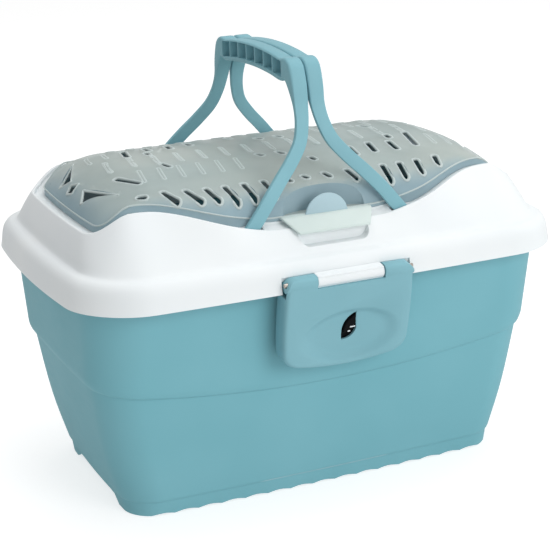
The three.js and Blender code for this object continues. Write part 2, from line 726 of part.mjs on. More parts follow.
// Knuckle of the latch pin on the lid's lip, with a notch for each ear of the latch plate
function addLatchSeat(lid) {
  const clear = latchEarRadius + runGap;
  const outer = latchHalfWidth + runGap;
  const notch = join(rod('x', latchKnuckleHalfLength, outer, clear, [0, 0]),
    block([latchKnuckleHalfLength, -clear, -overrun], [outer, clear, 0]));
  const knuckle = join(
    rod('x', -latchKnuckleHalfLength, latchKnuckleHalfLength, latchKnuckleRadius, [0, 0]),
    block([-latchKnuckleHalfLength, 0, -latchKnuckleRadius / 2],
      [latchKnuckleHalfLength, latchKnuckleRadius, latchKnuckleRadius / 2]));
  const hole = rod('x', -2 * latchHalfWidth, 2 * latchHalfWidth, pinRadius + pinClearance, [0, 0]);
  const notched = cut(lid, ...bothEnds(placed(notch)));
  return notched.add(placed(knuckle)).subtract(placed(hole));
}

// Rear knuckles of the lid, with notches in the lip for the tub's arms
function addLidKnuckles(lid) {
  const at = [lidHingeY, lidHingeZ];
  const half = lidKnuckleLength / 2;
  const outer = half + tubKnuckleLength + 2 * runGap;
  const clear = lidKnuckleRadius + runGap;
  const notch = join(rod('x', lidHingeX - outer, lidHingeX + outer, clear, at),
    block([lidHingeX - outer, rimHalfWidth + lidWall, lipHeight - overrun],
      [lidHingeX + outer, lidHingeY + overrun, lidHingeZ]));
  const knuckle = join(rod('x', lidHingeX - half, lidHingeX + half, lidKnuckleRadius, at),
    block([lidHingeX - half, lidHingeY - 2 * lidKnuckleRadius - lidWall / 2, lidHingeZ],
      [lidHingeX + half, lidHingeY, lidHingeZ + lidKnuckleRadius - pinClearance]));
  const hole = rod('x', lidHingeX - outer, lidHingeX + outer, pinRadius + pinClearance, at);
  return cut(join(cut(lid, ...bothEnds(notch)), ...bothEnds(knuckle)), ...bothEnds(hole));
}

// Rings of the door's outer face, or of its inner face when it is drawn in by a wall
function doorRings(wall) {
  const edge = inset(doorPlan, wall);
  const rim = outline(doorPlan);
  const drops = rim.map(([x, y], j) => Math.max(crownZ(x, y) - bandZ(x, y, j), 0));
  // Insets from the edge as shares of the way in, each with the share of the shoulder's drop left there
  const dome_shares = [[0, 1], [0.02, 0.72], [0.05, 0.42], [0.09, 0.2], [0.15, 0.06], [0.26, 0], [0.45, 0],
    [0.7, 0], [1, 0]];
  const deepest = edge.width - edge.sideBow - edge.pinch - doorShoulder / 2;
  const domes = dome_shares.map(([inward, left]) => {
    const plan = { ...inset(edge, inward * deepest), pinch: edge.pinch * (1 - inward) };
    return ring(plan, (x, y, j) => crownZ(x, y) - drops[j] * left - wall);
  });
  return [ring(edge, (x, y, j) => landZ(x, y, j) + seatGap), ...domes];
}

function makeDoor() {
  const outer = doorRings(0);
  const inner = doorRings(doorWall).toReversed();
  const shell = loft([...inner, ...outer]);
  const pocketed = addThumbPocket(shell, loft(outer));
  return addDoorKnuckles(addTab(cut(pocketed, ...makeSlots())));
}

// One slot cutter: a round-ended prism that stands on the plan
function slotTool([x0, y0], [x1, y1], width) {
  const along = Math.atan2(y1 - y0, x1 - x0);
  const shape = new THREE.Shape();
  shape.absarc(x1, y1, width / 2, along - Math.PI / 2, along + Math.PI / 2);
  shape.absarc(x0, y0, width / 2, along + Math.PI / 2, along + Math.PI * 1.5);
  return pulledZ(shape, bandTop, bandTop + crownHeight - saddleLowHeight, slotSteps);
}

// Fans of slots: a row along each long edge, slanted slots over the top, and wedges at the ends.
// The rear half is the front half turned half a turn round the middle.
function makeSlots() {
  const halfTurn = (body) => [body, body.scale([-1, -1, 1])];
  const tools = [];
  for (const [place_share, length_share] of rowSlot_shares) {
    const x = doorPlan.length * slotReach_share * place_share;
    const pinched = doorPlan.pinch * smooth(Math.abs(x), pinchStart, saddlePeak);
    const half = doorPlan.width - pinched * slotPinch_share;
    const high = -half * slotRow_share - slotWidth / 2;
    const run = Math.max(slotLength * length_share - slotWidth, 0);
    tools.push(...halfTurn(slotTool([x - slotLean_share * x * length_share, high - run], [x, high], slotWidth)));
  }
  for (const [ax, ay, bx, by] of topSlot_shares) {
    tools.push(...halfTurn(slotTool([bx * doorPlan.length, -by * doorPlan.width],
      [ax * doorPlan.length, -ay * doorPlan.width], slotWidth)));
  }
  const prism = (corner_shares) => pulledZ(new THREE.Shape(corner_shares.map(([sx, sy]) => (
    new THREE.Vector2(sx * doorPlan.length, sy * doorPlan.width)))), saddleLowHeight, crownHeight);
  tools.push(...fourCorners(prism(wedgeSlot_shares)), ...bothEnds(prism(endSlot_shares)));
  return tools;
}

// Sunk pocket behind the thumb plate
function addThumbPocket(door, envelope) {
  const bay = (grow) => {
    const shape = new THREE.Shape();
    shape.absellipse(0, -doorPlan.width, thumbPocketHalfWidth + grow, thumbPocketLength + grow, 0, Math.PI);
    shape.lineTo(-thumbPocketHalfWidth - grow, -doorPlan.width - overrun);
    shape.lineTo(thumbPocketHalfWidth + grow, -doorPlan.width - overrun);
    return pulledZ(shape, bandTop - grow, bandTop + overrun);
  };
  return door.add(bay(doorWall).intersect(envelope)).subtract(bay(0));
}

// Sloping front tab with the half-round thumb plate that stands on it
function addTab(door) {
  const corners = (y, z, half) => [
    new THREE.Vector3(-half, y, z - tabWall), new THREE.Vector3(half, y, z - tabWall),
    new THREE.Vector3(half, y, z), new THREE.Vector3(-half, y, z)];
  const root = -doorPlan.width + doorWall;
  const knee = -doorPlan.width - tabShelf;
  const tab = loft([
    corners(root, bandTop, tabTopHalfWidth),
    corners(knee, bandTop, tabTopHalfWidth),
    corners(knee - tabReach, bandTop - tabDrop, tabLowHalfWidth),
  ]);
  const low = Math.asin((thumbSink - tabWall / 2) / thumbRadius);
  const shape = new THREE.Shape();
  shape.absarc(0, bandTop - thumbSink, thumbRadius, low, Math.PI - low);
  const front = knee + thumbWall / 2;
  return join(door, tab, pulledY(shape, front, front + thumbWall));
}

function addDoorKnuckles(door) {
  const half = doorKnuckleLength / 2;
  const at = [doorHingeY, doorHingeZ];
  const knuckle = join(rod('x', doorHingeX - half, doorHingeX + half, doorKnuckleRadius, at),
    block([doorHingeX - half, doorPlan.width - 2 * doorWall, ledgeTop + runGap],
      [doorHingeX + half, doorHingeY, doorHingeZ + doorKnuckleRadius * 0.9]));
  const hole = rod('x', doorHingeX - half - runGap, doorHingeX + half + runGap, pinRadius + pinClearance, at);
  return cut(join(door, ...bothEnds(knuckle)), ...bothEnds(hole));
}

// Height of the middle of a bail's grip above the ground
const gripZ = (y) => bailTop - bailGripHeight / 4 - bailArch * (y / bailGripHalfLength) ** 2;

// Middle of the right-hand bail's grip along X, just clear of the other bail
const gripX = (bailGripWidth + bailGap) / 2;

// Centre line of the front half of the right-hand bail, from its foot to the middle of the grip
function bailStations() {
  const legs = bailLeg_shares.map(([sx, sy, sz]) => ({
    at: new THREE.Vector3(gripX + (bailPivotX - gripX) * sx, -bailPivotY * sy, bailPivotZ + bailRise * sz),
    wide: bailLegWidth + (bailGripWidth - bailLegWidth) * smooth(sz, 0.6, 0.9),
    deep: bailLegWall + (bailGripHeight - bailLegWall) * smooth(sz, 0.7, 1),
  }));
  const grip = bailGrip_shares.map((share) => ({
    at: new THREE.Vector3(gripX, -bailGripHalfLength * share, gripZ(bailGripHalfLength * share)),
    wide: bailGripWidth,
    deep: bailGripHeight,
  }));
  return [...legs, ...grip];
}

// Rings of a bail's band: chamfered rectangles square to the centre line
function bailRings(stations) {
  const rear = stations.slice(0, -1).toReversed().map((station) => (
    { ...station, at: station.at.clone().setY(-station.at.y) }));
  const all = [...stations, ...rear];
  return all.map(({ at, wide, deep }, i) => {
    const before = all[Math.max(i - 1, 0)].at;
    const after = all[Math.min(i + 1, all.length - 1)].at;
    const run = new THREE.Vector3().subVectors(after, before).normalize();
    const falling = run.z < 0 ? -1 : 1;
    const lean = Math.atan2(-run.x * falling, Math.max(Math.abs(run.z), Math.abs(run.y)));
    const across = new THREE.Vector3(Math.cos(lean), 0, Math.sin(lean));
    const through = new THREE.Vector3().crossVectors(run, across).normalize();
    const bevel = bailBevel_share * Math.min(wide, deep);
    const [w, d] = [wide / 2, deep / 2];
    const section = [[w - bevel, -d], [w, -d + bevel], [w, d - bevel], [w - bevel, d],
      [-w + bevel, d], [-w, d - bevel], [-w, -d + bevel], [-w + bevel, -d]];
    return section.map(([u, v]) => at.clone().addScaledVector(across, u).addScaledVector(through, v));
  });
}

// The right-hand bail; the left-hand one is its mirror image
function makeBail() {
  const [low, high] = [bailPivotY - bailLegWall / 2, bailPivotY + bailLegWall / 2];
  const foot = rod('y', low, high, bailFootRadius, [bailPivotX, bailPivotZ]);
  const hole = rod('y', low - runGap, high + runGap, bailPinRadius + pinClearance, [bailPivotX, bailPivotZ]);
  const flipped = (body) => body.scale([1, -1, 1]);
  const feet = join(loft(bailRings(bailStations())), foot, flipped(foot));
  return cut(feet, hole, flipped(hole), ...gripCells());
}

// Hollow cells in the outward face of the grip, with thin ribs left between them
function gripCells() {
  const pitch = (2 * gripChannelHalfLength + gripRibWall) / (gripRibs + 1);
  const outside = gripX + bailGripWidth / 2;
  const half = bailGripHeight / 2 - gripRim;
  const end = (y) => [[-gripChannelDepth, -half], [overrun, -half], [overrun, half], [-gripChannelDepth, half]]
    .map(([dx, dz]) => new THREE.Vector3(outside + dx, y, gripZ(y) + dz));
  return Array.from({ length: gripRibs + 1 }, (_, i) => {
    const from = -gripChannelHalfLength + i * pitch;
    return loft([end(from + pitch - gripRibWall), end(from)]);
  });
}

// Outline of the latch plate in its own frame, seen from the front, drawn in by an inset
function latchShape(by) {
  const top = -latchWallTop;
  const low = -latchDrop + by;
  const wide = latchHalfWidth - by;
  const narrow = latchLowHalfWidth - by;
  const turn = low + latchCorner;
  const bulge = (top + turn) / 2;
  const shape = new THREE.Shape();
  shape.moveTo(wide, top);
  shape.lineTo(-wide, top);
  shape.quadraticCurveTo(-wide - latchBulge, bulge, -narrow, turn);
  shape.quadraticCurveTo(-narrow + latchCorner / 6, low, -narrow + latchCorner, low);
  shape.lineTo(narrow - latchCorner, low);
  shape.quadraticCurveTo(narrow - latchCorner / 6, low, narrow, turn);
  shape.quadraticCurveTo(wide + latchBulge, bulge, wide, top);
  return shape;
}

// Shell of the latch: front plate, side walls, dish, window, bosses, hook and the two ears
function makeLatchPlate() {
  const front = -latchEarRadius;
  const back = front + latchWall;
  const shell = pulledY(latchShape(0), front, latchDepth);
  const hollow = pulledY(latchShape(latchWall), back, latchDepth + overrun);
  const ears = bothEnds(join(rod('x', latchEarInner, latchHalfWidth, latchEarRadius, [0, 0]),
    block([latchEarInner, front, -latchWallTop - latchWall], [latchHalfWidth, back, 0])));
  const bridge = block([-latchEarInner - latchWall, front, -latchWallTop - latchWall],
    [latchEarInner + latchWall, back, -latchBridgeDrop]);
  const bowl = (grow) => solid(new THREE.SphereGeometry(1, roundSteps, roundSteps / 2)
    .scale(dishHalfWidth + grow, dishDepth + grow, dishHalfHeight + grow)
    .translate(0, front, -dishDrop));
  const lining = bowl(latchWall).intersect(pulledY(latchShape(latchWall / 2), front + latchWall / 2, latchDepth));
  const opened = cut(shell, hollow, block([-snapHalfWidth - runGap, hookBack, -latchDrop - overrun],
    [snapHalfWidth + runGap, latchDepth + overrun, -latchDrop + latchWall + runGap]));
  const plate = cut(join(opened, ...ears, bridge, lining), bowl(0), makeWindow());
  const bossFrom = front + dishDepth + latchWall / 5;
  const boss = rod('y', bossFrom, keeperFront - seatGap, bossRadius, [screwX, -screwDrop]);
  const pilot = rod('y', keeperFront - screwEngage - seatGap, overrun, screwRadius + pinClearance,
    [screwX, -screwDrop]);
  const hole = rod('x', -2 * latchHalfWidth, 2 * latchHalfWidth, pinRadius + pinClearance, [0, 0]);
  return cut(join(plate, ...bothEnds(boss), makeSnapHook()), ...bothEnds(pilot), hole);
}

// Pointed window in the dish, in front of the slide
function makeWindow() {
  const [top, low] = [-windowTopDrop, -windowLowDrop];
  const shoulder = low + (top - low) / 4;
  const shape = new THREE.Shape();
  shape.moveTo(0, top);
  shape.quadraticCurveTo(-windowHalfWidth, (top + low) / 2, -windowHalfWidth, shoulder);
  shape.lineTo(-windowHalfWidth * 0.8, low);
  shape.lineTo(windowHalfWidth * 0.8, low);
  shape.lineTo(windowHalfWidth, shoulder);
  shape.quadraticCurveTo(windowHalfWidth, (top + low) / 2, 0, top);
  return pulledY(shape, -latchEarRadius - overrun, slideFront - seatGap);
}

// Lip along the latch's lower wall that closes in front of the tub's rib
function makeSnapHook() {
  return block([-snapHalfWidth, hookBack - latchWall, -latchDrop + latchWall / 2],
    [snapHalfWidth, hookBack, -hookTopDrop]);
}

// Black slide: a tray with a thumb pad in the window, an arm through the keeper and a finger
function makeSlide() {
  const tray = block([-slideHalfWidth, slideFront, -slideLowDrop], [slideHalfWidth, slideBack, -slideTopDrop]);
  const low = -windowLowDrop + slideTravel + runGap;
  const top = low + thumbPadHeight;
  const middle = (top + low) / 2;
  const pad = new THREE.Shape();
  pad.moveTo(0, top);
  pad.quadraticCurveTo(-thumbPadHalfWidth, middle, -thumbPadHalfWidth, low + thumbPadHalfWidth / 2);
  pad.quadraticCurveTo(-thumbPadHalfWidth, low, 0, low);
  pad.quadraticCurveTo(thumbPadHalfWidth, low, thumbPadHalfWidth, low + thumbPadHalfWidth / 2);
  pad.quadraticCurveTo(thumbPadHalfWidth, middle, 0, top);
  const arm = block([-armHalfWidth, slideFront, -armDrop - armWall], [armHalfWidth, fingerBack, -armDrop]);
  const finger = block([-armHalfWidth, fingerFront, -armDrop - fingerLength], [armHalfWidth, fingerBack, -armDrop]);
  return join(tray, pulledY(pad, slideFront - thumbPadRise, slideBack), arm, finger);
}

// Keeper plate that holds the slide in the latch
function makeKeeper() {
  const plate = block([-keeperHalfWidth, keeperFront, -screwDrop - keeperHalfHeight],
    [keeperHalfWidth, keeperBack, -screwDrop + keeperHalfHeight]);
  const slot = block([-armHalfWidth - runGap, 0, -screwDrop - slideTravel - runGap],
    [armHalfWidth + runGap, overrun, -armDrop + runGap]);
  const hole = rod('y', 0, overrun, screwRadius + pinClearance, [screwX, -screwDrop]);
  return cut(plate, slot, ...bothEnds(hole));
}

// Screw of the keeper plate, on the right-hand side
function makeScrew() {
  const head = keeperBack + seatGap;
  const tip = keeperFront - screwEngage;
  return join(rod('y', head, head + screwHeadHeight, screwHeadRadius, [screwX, -screwDrop]),
    rod('y', tip, head + screwHeadHeight, screwRadius, [screwX, -screwDrop]));
}

const plastic = (color) => new THREE.MeshStandardMaterial({ color, roughness: plasticRoughness, metalness: 0 });
const tealPlastic = plastic(teal);
const whitePlastic = plastic(white);
const blackPlastic = plastic(black);
const frostPlastic = new THREE.MeshStandardMaterial({
  color: frost, roughness: frostRoughness, metalness: 0, transparent: true, opacity: frostOpacity });
const pinSteel = new THREE.MeshStandardMaterial({ color: steel, roughness: steelRoughness, metalness: 1 });

function piece(name, body, material) {
  const mesh = new THREE.Mesh(geometryOf(body), material);
  mesh.name = name;
  return mesh;
}

const carrier = new THREE.Group();
carrier.add(piece('tub', makeTub(), tealPlastic));
carrier.add(piece('tub_floor', makeTubFloor(), tealPlastic));
carrier.add(piece('latch_catch', makeCatch(), tealPlastic));
carrier.add(piece('latch_rib', makeSnapRib(), tealPlastic));
carrier.add(piece('lid', makeLid(), whitePlastic));
carrier.add(piece('top_door', makeDoor(), frostPlastic));

const rightBail = makeBail();
carrier.add(piece('right_bail', rightBail, tealPlastic));
carrier.add(piece('left_bail', rightBail.mirror([1, 0, 0]), tealPlastic));

// Pins of the bails, of the door and of the lid
const bailPinFrom = bailPivotY - bailLegWall / 2 - runGap - pocketWall;
const bailPinTo = bailPivotY + bailLegWall / 2 + runGap + pocketWall / 2 - seatGap;
const bailPin = rod('y', bailPinFrom, bailPinTo, bailPinRadius, [bailPivotX, bailPivotZ]);
const doorPinReach = doorKnuckleLength / 2 + runGap + doorCheekLength;
const doorPin = rod('x', doorHingeX - doorPinReach, doorHingeX + doorPinReach, pinRadius,
  [doorHingeY, doorHingeZ]);
const lidPinReach = lidKnuckleLength / 2 + runGap + tubKnuckleLength;
const lidPin = rod('x', lidHingeX - lidPinReach, lidHingeX + lidPinReach, pinRadius, [lidHingeY, lidHingeZ]);
for (const [side, sx] of [['right', 1], ['left', -1]]) {
  for (const [end, sy] of [['rear', 1], ['front', -1]]) {
    carrier.add(piece(`${side}_bail_${end}_pin`, bailPin.scale([sx, sy, 1]), pinSteel));
  }
  carrier.add(piece(`door_hinge_pin_${side}`, doorPin.scale([sx, 1, 1]), pinSteel));
  carrier.add(piece(`lid_hinge_pin_${side}`, lidPin.scale([sx, 1, 1]), pinSteel));
}

// The latch and what it holds, in its leaning frame
const latch = new THREE.Group();
latch.applyMatrix4(latchFrame);
latch.add(piece('latch_plate', makeLatchPlate(), tealPlastic));
const latchPin = rod('x', -latchHalfWidth, latchHalfWidth, pinRadius, [0, 0]);
latch.add(piece('latch_pin', latchPin, pinSteel));
latch.add(piece('lock_slide', makeSlide(), blackPlastic));
latch.add(piece('slide_keeper', makeKeeper(), tealPlastic));
latch.add(piece('keeper_screw_right', makeScrew(), pinSteel));
latch.add(piece('keeper_screw_left', makeScrew().mirror([1, 0, 0]), pinSteel));
carrier.add(latch);

export default carrier;
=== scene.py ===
# %% [markdown]
# A pet carrier: a teal tub, a white lid that a latch holds shut, a frosted top door and two teal bails.
# The imported model is the fixed frame: it says where every piece lies and what moves with what.
# This script dresses that frame, and it starts by loading it. The finer shapes made here are meant to stay
# inside the frame's outer box.

# %% Load the fixed frame
import math

import bmesh
import bpy
import numpy as np
from mathutils import Matrix, Vector
from mathutils.bvhtree import BVHTree


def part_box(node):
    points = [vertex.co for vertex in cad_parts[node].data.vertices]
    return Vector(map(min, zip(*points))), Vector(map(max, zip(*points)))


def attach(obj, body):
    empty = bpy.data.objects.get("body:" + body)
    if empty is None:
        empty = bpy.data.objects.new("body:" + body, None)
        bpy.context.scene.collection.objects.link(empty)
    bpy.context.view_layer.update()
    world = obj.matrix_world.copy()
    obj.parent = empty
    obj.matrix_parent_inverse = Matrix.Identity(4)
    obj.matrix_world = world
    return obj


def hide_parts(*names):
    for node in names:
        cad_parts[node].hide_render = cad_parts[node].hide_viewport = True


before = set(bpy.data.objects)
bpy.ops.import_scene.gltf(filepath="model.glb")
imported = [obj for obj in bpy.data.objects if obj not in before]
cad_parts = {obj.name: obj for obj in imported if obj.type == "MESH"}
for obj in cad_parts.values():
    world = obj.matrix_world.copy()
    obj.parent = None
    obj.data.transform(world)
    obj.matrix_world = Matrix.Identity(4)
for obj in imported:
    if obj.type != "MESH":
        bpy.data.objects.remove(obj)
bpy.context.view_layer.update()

# %% [markdown]
# Makers write sizes in millimetres, so this script does too, and every mesh is scaled to metres when it
# is built. The big sizes come from the boxes of the frame's own nodes. A fine outline follows the true
# curve between the frame's facets, so it is drawn in by a hair's breadth to stay inside them.

# %% Sizes that come from the frame
MM = 0.001
HAIR = 0.3


def high_mm(node):
    return [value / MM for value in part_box(node)[1]]


def low_mm(node):
    return [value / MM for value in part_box(node)[0]]


LID_LENGTH = high_mm("lid")[0]
LIP_LOW = 213.0
LIP_WIDTH = 165.5
RIM_TOP = 222.0
BAIL_TOP = high_mm("right_bail")[2]
print(f"lid half length {LID_LENGTH:.1f} mm, bails up to {BAIL_TOP:.1f} mm")

# %% [markdown]
# The tub, the lid and the door are all drawn on plan outlines of one kind: a rounded rectangle whose
# sides bow outwards a little. One function gives the outline with the same count and order of points
# each time, so outlines at different heights can be skinned into a wall, ring by ring.

# %% Plan outlines
CORNER_STEPS, END_STEPS, SIDE_STEPS = 12, 14, 84
SADDLE_START, SADDLE_PEAK, SADDLE_FALL = 45.0, 168.0, 176.0
PINCH_START = 90.0


def smooth(value, start, stop):
    t = np.clip((value - start) / (stop - start), 0.0, 1.0)
    return t * t * (3 - 2 * t)


def plan(length, width, corner, end_bow, side_bow, pinch=0.0):
    return dict(length=length, width=width, corner=corner, end_bow=end_bow, side_bow=side_bow, pinch=pinch)


def inset(shape, ends, sides=None):
    sides = ends if sides is None else sides
    corner = max(shape["corner"] - ends, shape["corner"] / 4)
    return {**shape, "length": shape["length"] - ends, "width": shape["width"] - sides, "corner": corner}


def between(a, b, share):
    return {key: a[key] + (b[key] - a[key]) * share for key in a}


def outline(shape):
    corner = shape["corner"]
    ax = shape["length"] - shape["end_bow"]
    by = shape["width"] - shape["side_bow"]
    turns = [(1, -1), (1, 1), (-1, 1), (-1, -1)]
    points = []
    for k, (sx, sy) in enumerate(turns):
        start = (k - 1) * math.pi / 2
        hub = np.array([sx * (ax - corner), sy * (by - corner)])
        for i in range(CORNER_STEPS + 1):
            angle = start + math.pi / 2 * i / CORNER_STEPS
            points.append(hub + corner * np.array([math.cos(angle), math.sin(angle)]))
        nx, ny = turns[(k + 1) % 4]
        stop = start + math.pi / 2
        target = np.array([nx * (ax - corner), ny * (by - corner)])
        target = target + corner * np.array([math.cos(stop), math.sin(stop)])
        steps = END_STEPS if k % 2 == 0 else SIDE_STEPS
        first = points[-1]
        points += [first + (target - first) * i / steps for i in range(1, steps)]
    p = np.array(points)
    near_side = np.minimum(np.abs(p[:, 1]) / by, 1) ** 4
    near_end = np.minimum(np.abs(p[:, 0]) / ax, 1) ** 4
    out_y = shape["side_bow"] * (1 - (p[:, 0] / ax) ** 2) * near_side
    out_x = shape["end_bow"] * (1 - (p[:, 1] / by) ** 2) * near_end
    pinched = shape["pinch"] * smooth(np.abs(p[:, 0]), PINCH_START, SADDLE_PEAK) * near_side
    p[:, 0] += np.sign(p[:, 0]) * out_x
    p[:, 1] += np.sign(p[:, 1]) * (out_y - pinched)
    return p


def ring(shape, z):
    p = outline(shape)
    height = z(p[:, 0], p[:, 1]) if callable(z) else np.zeros(len(p)) + z
    return np.column_stack([p, height])


lip_plan = plan(LID_LENGTH - HAIR, LIP_WIDTH - HAIR, 56, 12, 4)
foot_plan = plan(226 - HAIR, 149 - HAIR, 48, 7, 4)
edge_plan = plan(215 - HAIR, 132.5 - HAIR, 50, 5, 3, 23)
rim_plan = plan(230 - HAIR, 148.5 - HAIR, 46, 7, 4)
ledge_plan = plan(219, 125.5, 36, 3.5, 4)
base_plan = plan(192, 106, 27, 3.5, 4)
door_plan = inset(edge_plan, 11.5)
opening_plan = inset(door_plan, 11)
print("points in an outline:", len(outline(rim_plan)))

# %% [markdown]
# Rings of points become a mesh by joining each ring to the next with four-sided faces. Sharp turns of
# the wall are rounded first: each corner of the profile is replaced by a short curve that starts and
# ends a little way along its two neighbours. That is how a moulded edge looks, and it is cheap.


# %% Rings into meshes
def rounded(stations, steps=4):
    """Stations are (ring, radius): each ring with a radius is replaced by a small curve of rings."""
    rings = []
    last = len(stations) - 1
    for k, (here, radius) in enumerate(stations):
        if radius == 0 or k in (0, last):
            rings.append(here)
            continue
        legs = []
        for other in (stations[k - 1][0], stations[k + 1][0]):
            run = other - here
            length = np.maximum(np.linalg.norm(run, axis=1, keepdims=True), 1e-6)
            legs.append(here + run * np.minimum(radius / length, 0.48))
        for i in range(steps + 1):
            t = i / steps
            rings.append(legs[0] * (1 - t) ** 2 + here * (2 * t * (1 - t)) + legs[1] * t ** 2)
    return rings


def mesh_object(name, points, faces):
    mesh = bpy.data.meshes.new(name)
    mesh.from_pydata((np.array(points) * MM).tolist(), [], faces)
    bm = bmesh.new()
    bm.from_mesh(mesh)
    bmesh.ops.remove_doubles(bm, verts=bm.verts, dist=0.02 * MM)
    bmesh.ops.recalc_face_normals(bm, faces=bm.faces)
    bm.to_mesh(mesh)
    bm.free()
    piece = bpy.data.objects.new(name, mesh)
    bpy.context.scene.collection.objects.link(piece)
    return piece


def skin(name, rings, ends="caps"):
    """Ends are caps for a flat face, loop to join the last ring to the first, or zip for a long crown."""
    count = len(rings[0])
    faces = []
    for i in range(len(rings) if ends == "loop" else len(rings) - 1):
        low, high = i * count, (i + 1) % len(rings) * count
        for j in range(count):
            k = (j + 1) % count
            faces.append((low + j, low + k, high + k, high + j))
    if ends == "caps":
        faces.append(tuple(range(count)))
        faces.append(tuple((len(rings) - 1) * count + j for j in range(count)))
    if ends == "zip":
        flat = rings[-1]
        mirror = [int(np.argmin(np.hypot(flat[:, 0] - x, flat[:, 1] + y))) for x, y, _ in flat]
        for start in (0, (len(rings) - 1) * count):
            for j in range(count):
                k = (j + 1) % count
                across = list(dict.fromkeys(start + n for n in (j, k, mirror[k], mirror[j])))
                if max(flat[j, 1], flat[k, 1]) < 0.001 and len(across) > 2:
                    faces.append(tuple(across))
    return mesh_object(name, np.vstack(rings), faces)


print("a corner of one ring becomes", len(rounded([(np.zeros((1, 3)), 0), (np.ones((1, 3)), 1),
                                                    (np.full((1, 3), 2.0), 0)])), "rings")

# %% [markdown]
# Openings, holes and bosses are cut and joined with the Boolean modifier and its Manifold solver, which
# is fast on closed meshes. The tools are prisms, rods and blocks. Afterwards a small bevel breaks the
# sharp cut edges, as every real moulding has, and edges that turn less than a set angle are smoothed.


# %% Tools that cut and join
def prism(outline_2d, axis, start, stop):
    """A flat outline pulled along an axis: its two numbers fill the other two axes in order."""
    flat = np.array(outline_2d, float)
    rings = []
    for level in (start, stop):
        points = np.zeros((len(flat), 3))
        points[:, axis] = level
        points[:, [a for a in range(3) if a != axis]] = flat
        rings.append(points)
    return skin("tool", rings)


def circle(centre, radius, steps=40):
    angles = np.arange(steps) * 2 * math.pi / steps
    return np.column_stack([centre[0] + radius * np.cos(angles), centre[1] + radius * np.sin(angles)])


def rod(axis, start, stop, radius, centre, steps=40):
    return prism(circle(centre, radius, steps), axis, start, stop)


def block(low, high):
    corners = [(low[0], low[1]), (high[0], low[1]), (high[0], high[1]), (low[0], high[1])]
    return prism(corners, 2, low[2], high[2])


def turned(pieces, matrix):
    for piece in pieces:
        piece.data.transform(matrix)
    return pieces


def mirrored(piece, x=1, y=1):
    piece.data.transform(Matrix.Diagonal((x, y, 1, 1)))
    if x * y < 0:
        piece.data.flip_normals()
    return piece


def flip(piece, x=1, y=1):
    """A mirrored copy that leaves the piece as it is."""
    copy = piece.copy()
    copy.data = piece.data.copy()
    bpy.context.scene.collection.objects.link(copy)
    return mirrored(copy, x, y)


def settle(piece):
    """Makes the modifiers of a piece part of its mesh."""
    seen = piece.evaluated_get(bpy.context.evaluated_depsgraph_get())
    mesh = bpy.data.meshes.new_from_object(seen)
    piece.modifiers.clear()
    old = piece.data
    piece.data = mesh
    bpy.data.meshes.remove(old)
    return piece


def combine(piece, tools, operation):
    for tool in tools:
        step = piece.modifiers.new("step", "BOOLEAN")
        step.operation = operation
        step.object = tool
        step.solver = "MANIFOLD"
        settle(piece)
        bpy.data.objects.remove(tool)
    return piece


def cut(piece, *tools):
    return combine(piece, tools, "DIFFERENCE")


def join(piece, *tools):
    return combine(piece, tools, "UNION")


def trimmed(blocks, form):
    pieces = []
    for lining in blocks:
        step = lining.modifiers.new("step", "BOOLEAN")
        step.operation, step.object, step.solver = "INTERSECT", form, "MANIFOLD"
        pieces.append(settle(lining))
    return pieces


def corners_of(maker):
    return [mirrored(maker(), x, y) for x in (1, -1) for y in (1, -1)]


def both_ends(maker):
    return [mirrored(maker(), x) for x in (1, -1)]


def finish(piece, bevel=0.0, bevel_angle=40, smooth_angle=35):
    """Rounds the edges that turn sharply, and shades the rest smooth."""
    if bevel:
        edge = piece.modifiers.new("edge", "BEVEL")
        edge.width = bevel * MM
        edge.segments = 2
        edge.angle_limit = math.radians(bevel_angle)
        edge.use_clamp_overlap = True
        edge.harden_normals = False
        settle(piece)
    mesh = piece.data
    mesh.polygons.foreach_set("use_smooth", [True] * len(mesh.polygons))
    mesh.set_sharp_from_angle(angle=math.radians(smooth_angle))
    return piece


test = finish(cut(block((0, 0, 0), (10, 10, 10)), rod(0, -1, 11, 3, (5, 5))), bevel=0.5)
print("a bored block has", len(test.data.polygons), "faces")
bpy.data.objects.remove(test)

# %% [markdown]
# Shader maths reads best as plain expressions. This small class wraps a socket: adding, subtracting or
# multiplying two of them adds the Math node for it. Colours and vectors go through Mix and Vector Math
# nodes, because a Math node would turn a colour grey.


# %% Shader expressions
class Value:
    def __init__(self, finish_tree, socket):
        self.tree = finish_tree
        self.socket = socket

    def maths(self, operation, left, right):
        return self.tree.node("ShaderNodeMath", {"operation": operation}, {0: left, 1: right})

    def __add__(self, other):
        return self.maths("ADD", self, other)

    def __sub__(self, other):
        return self.maths("SUBTRACT", self, other)

    def __mul__(self, other):
        return self.maths("MULTIPLY", self, other)

    __radd__ = __add__


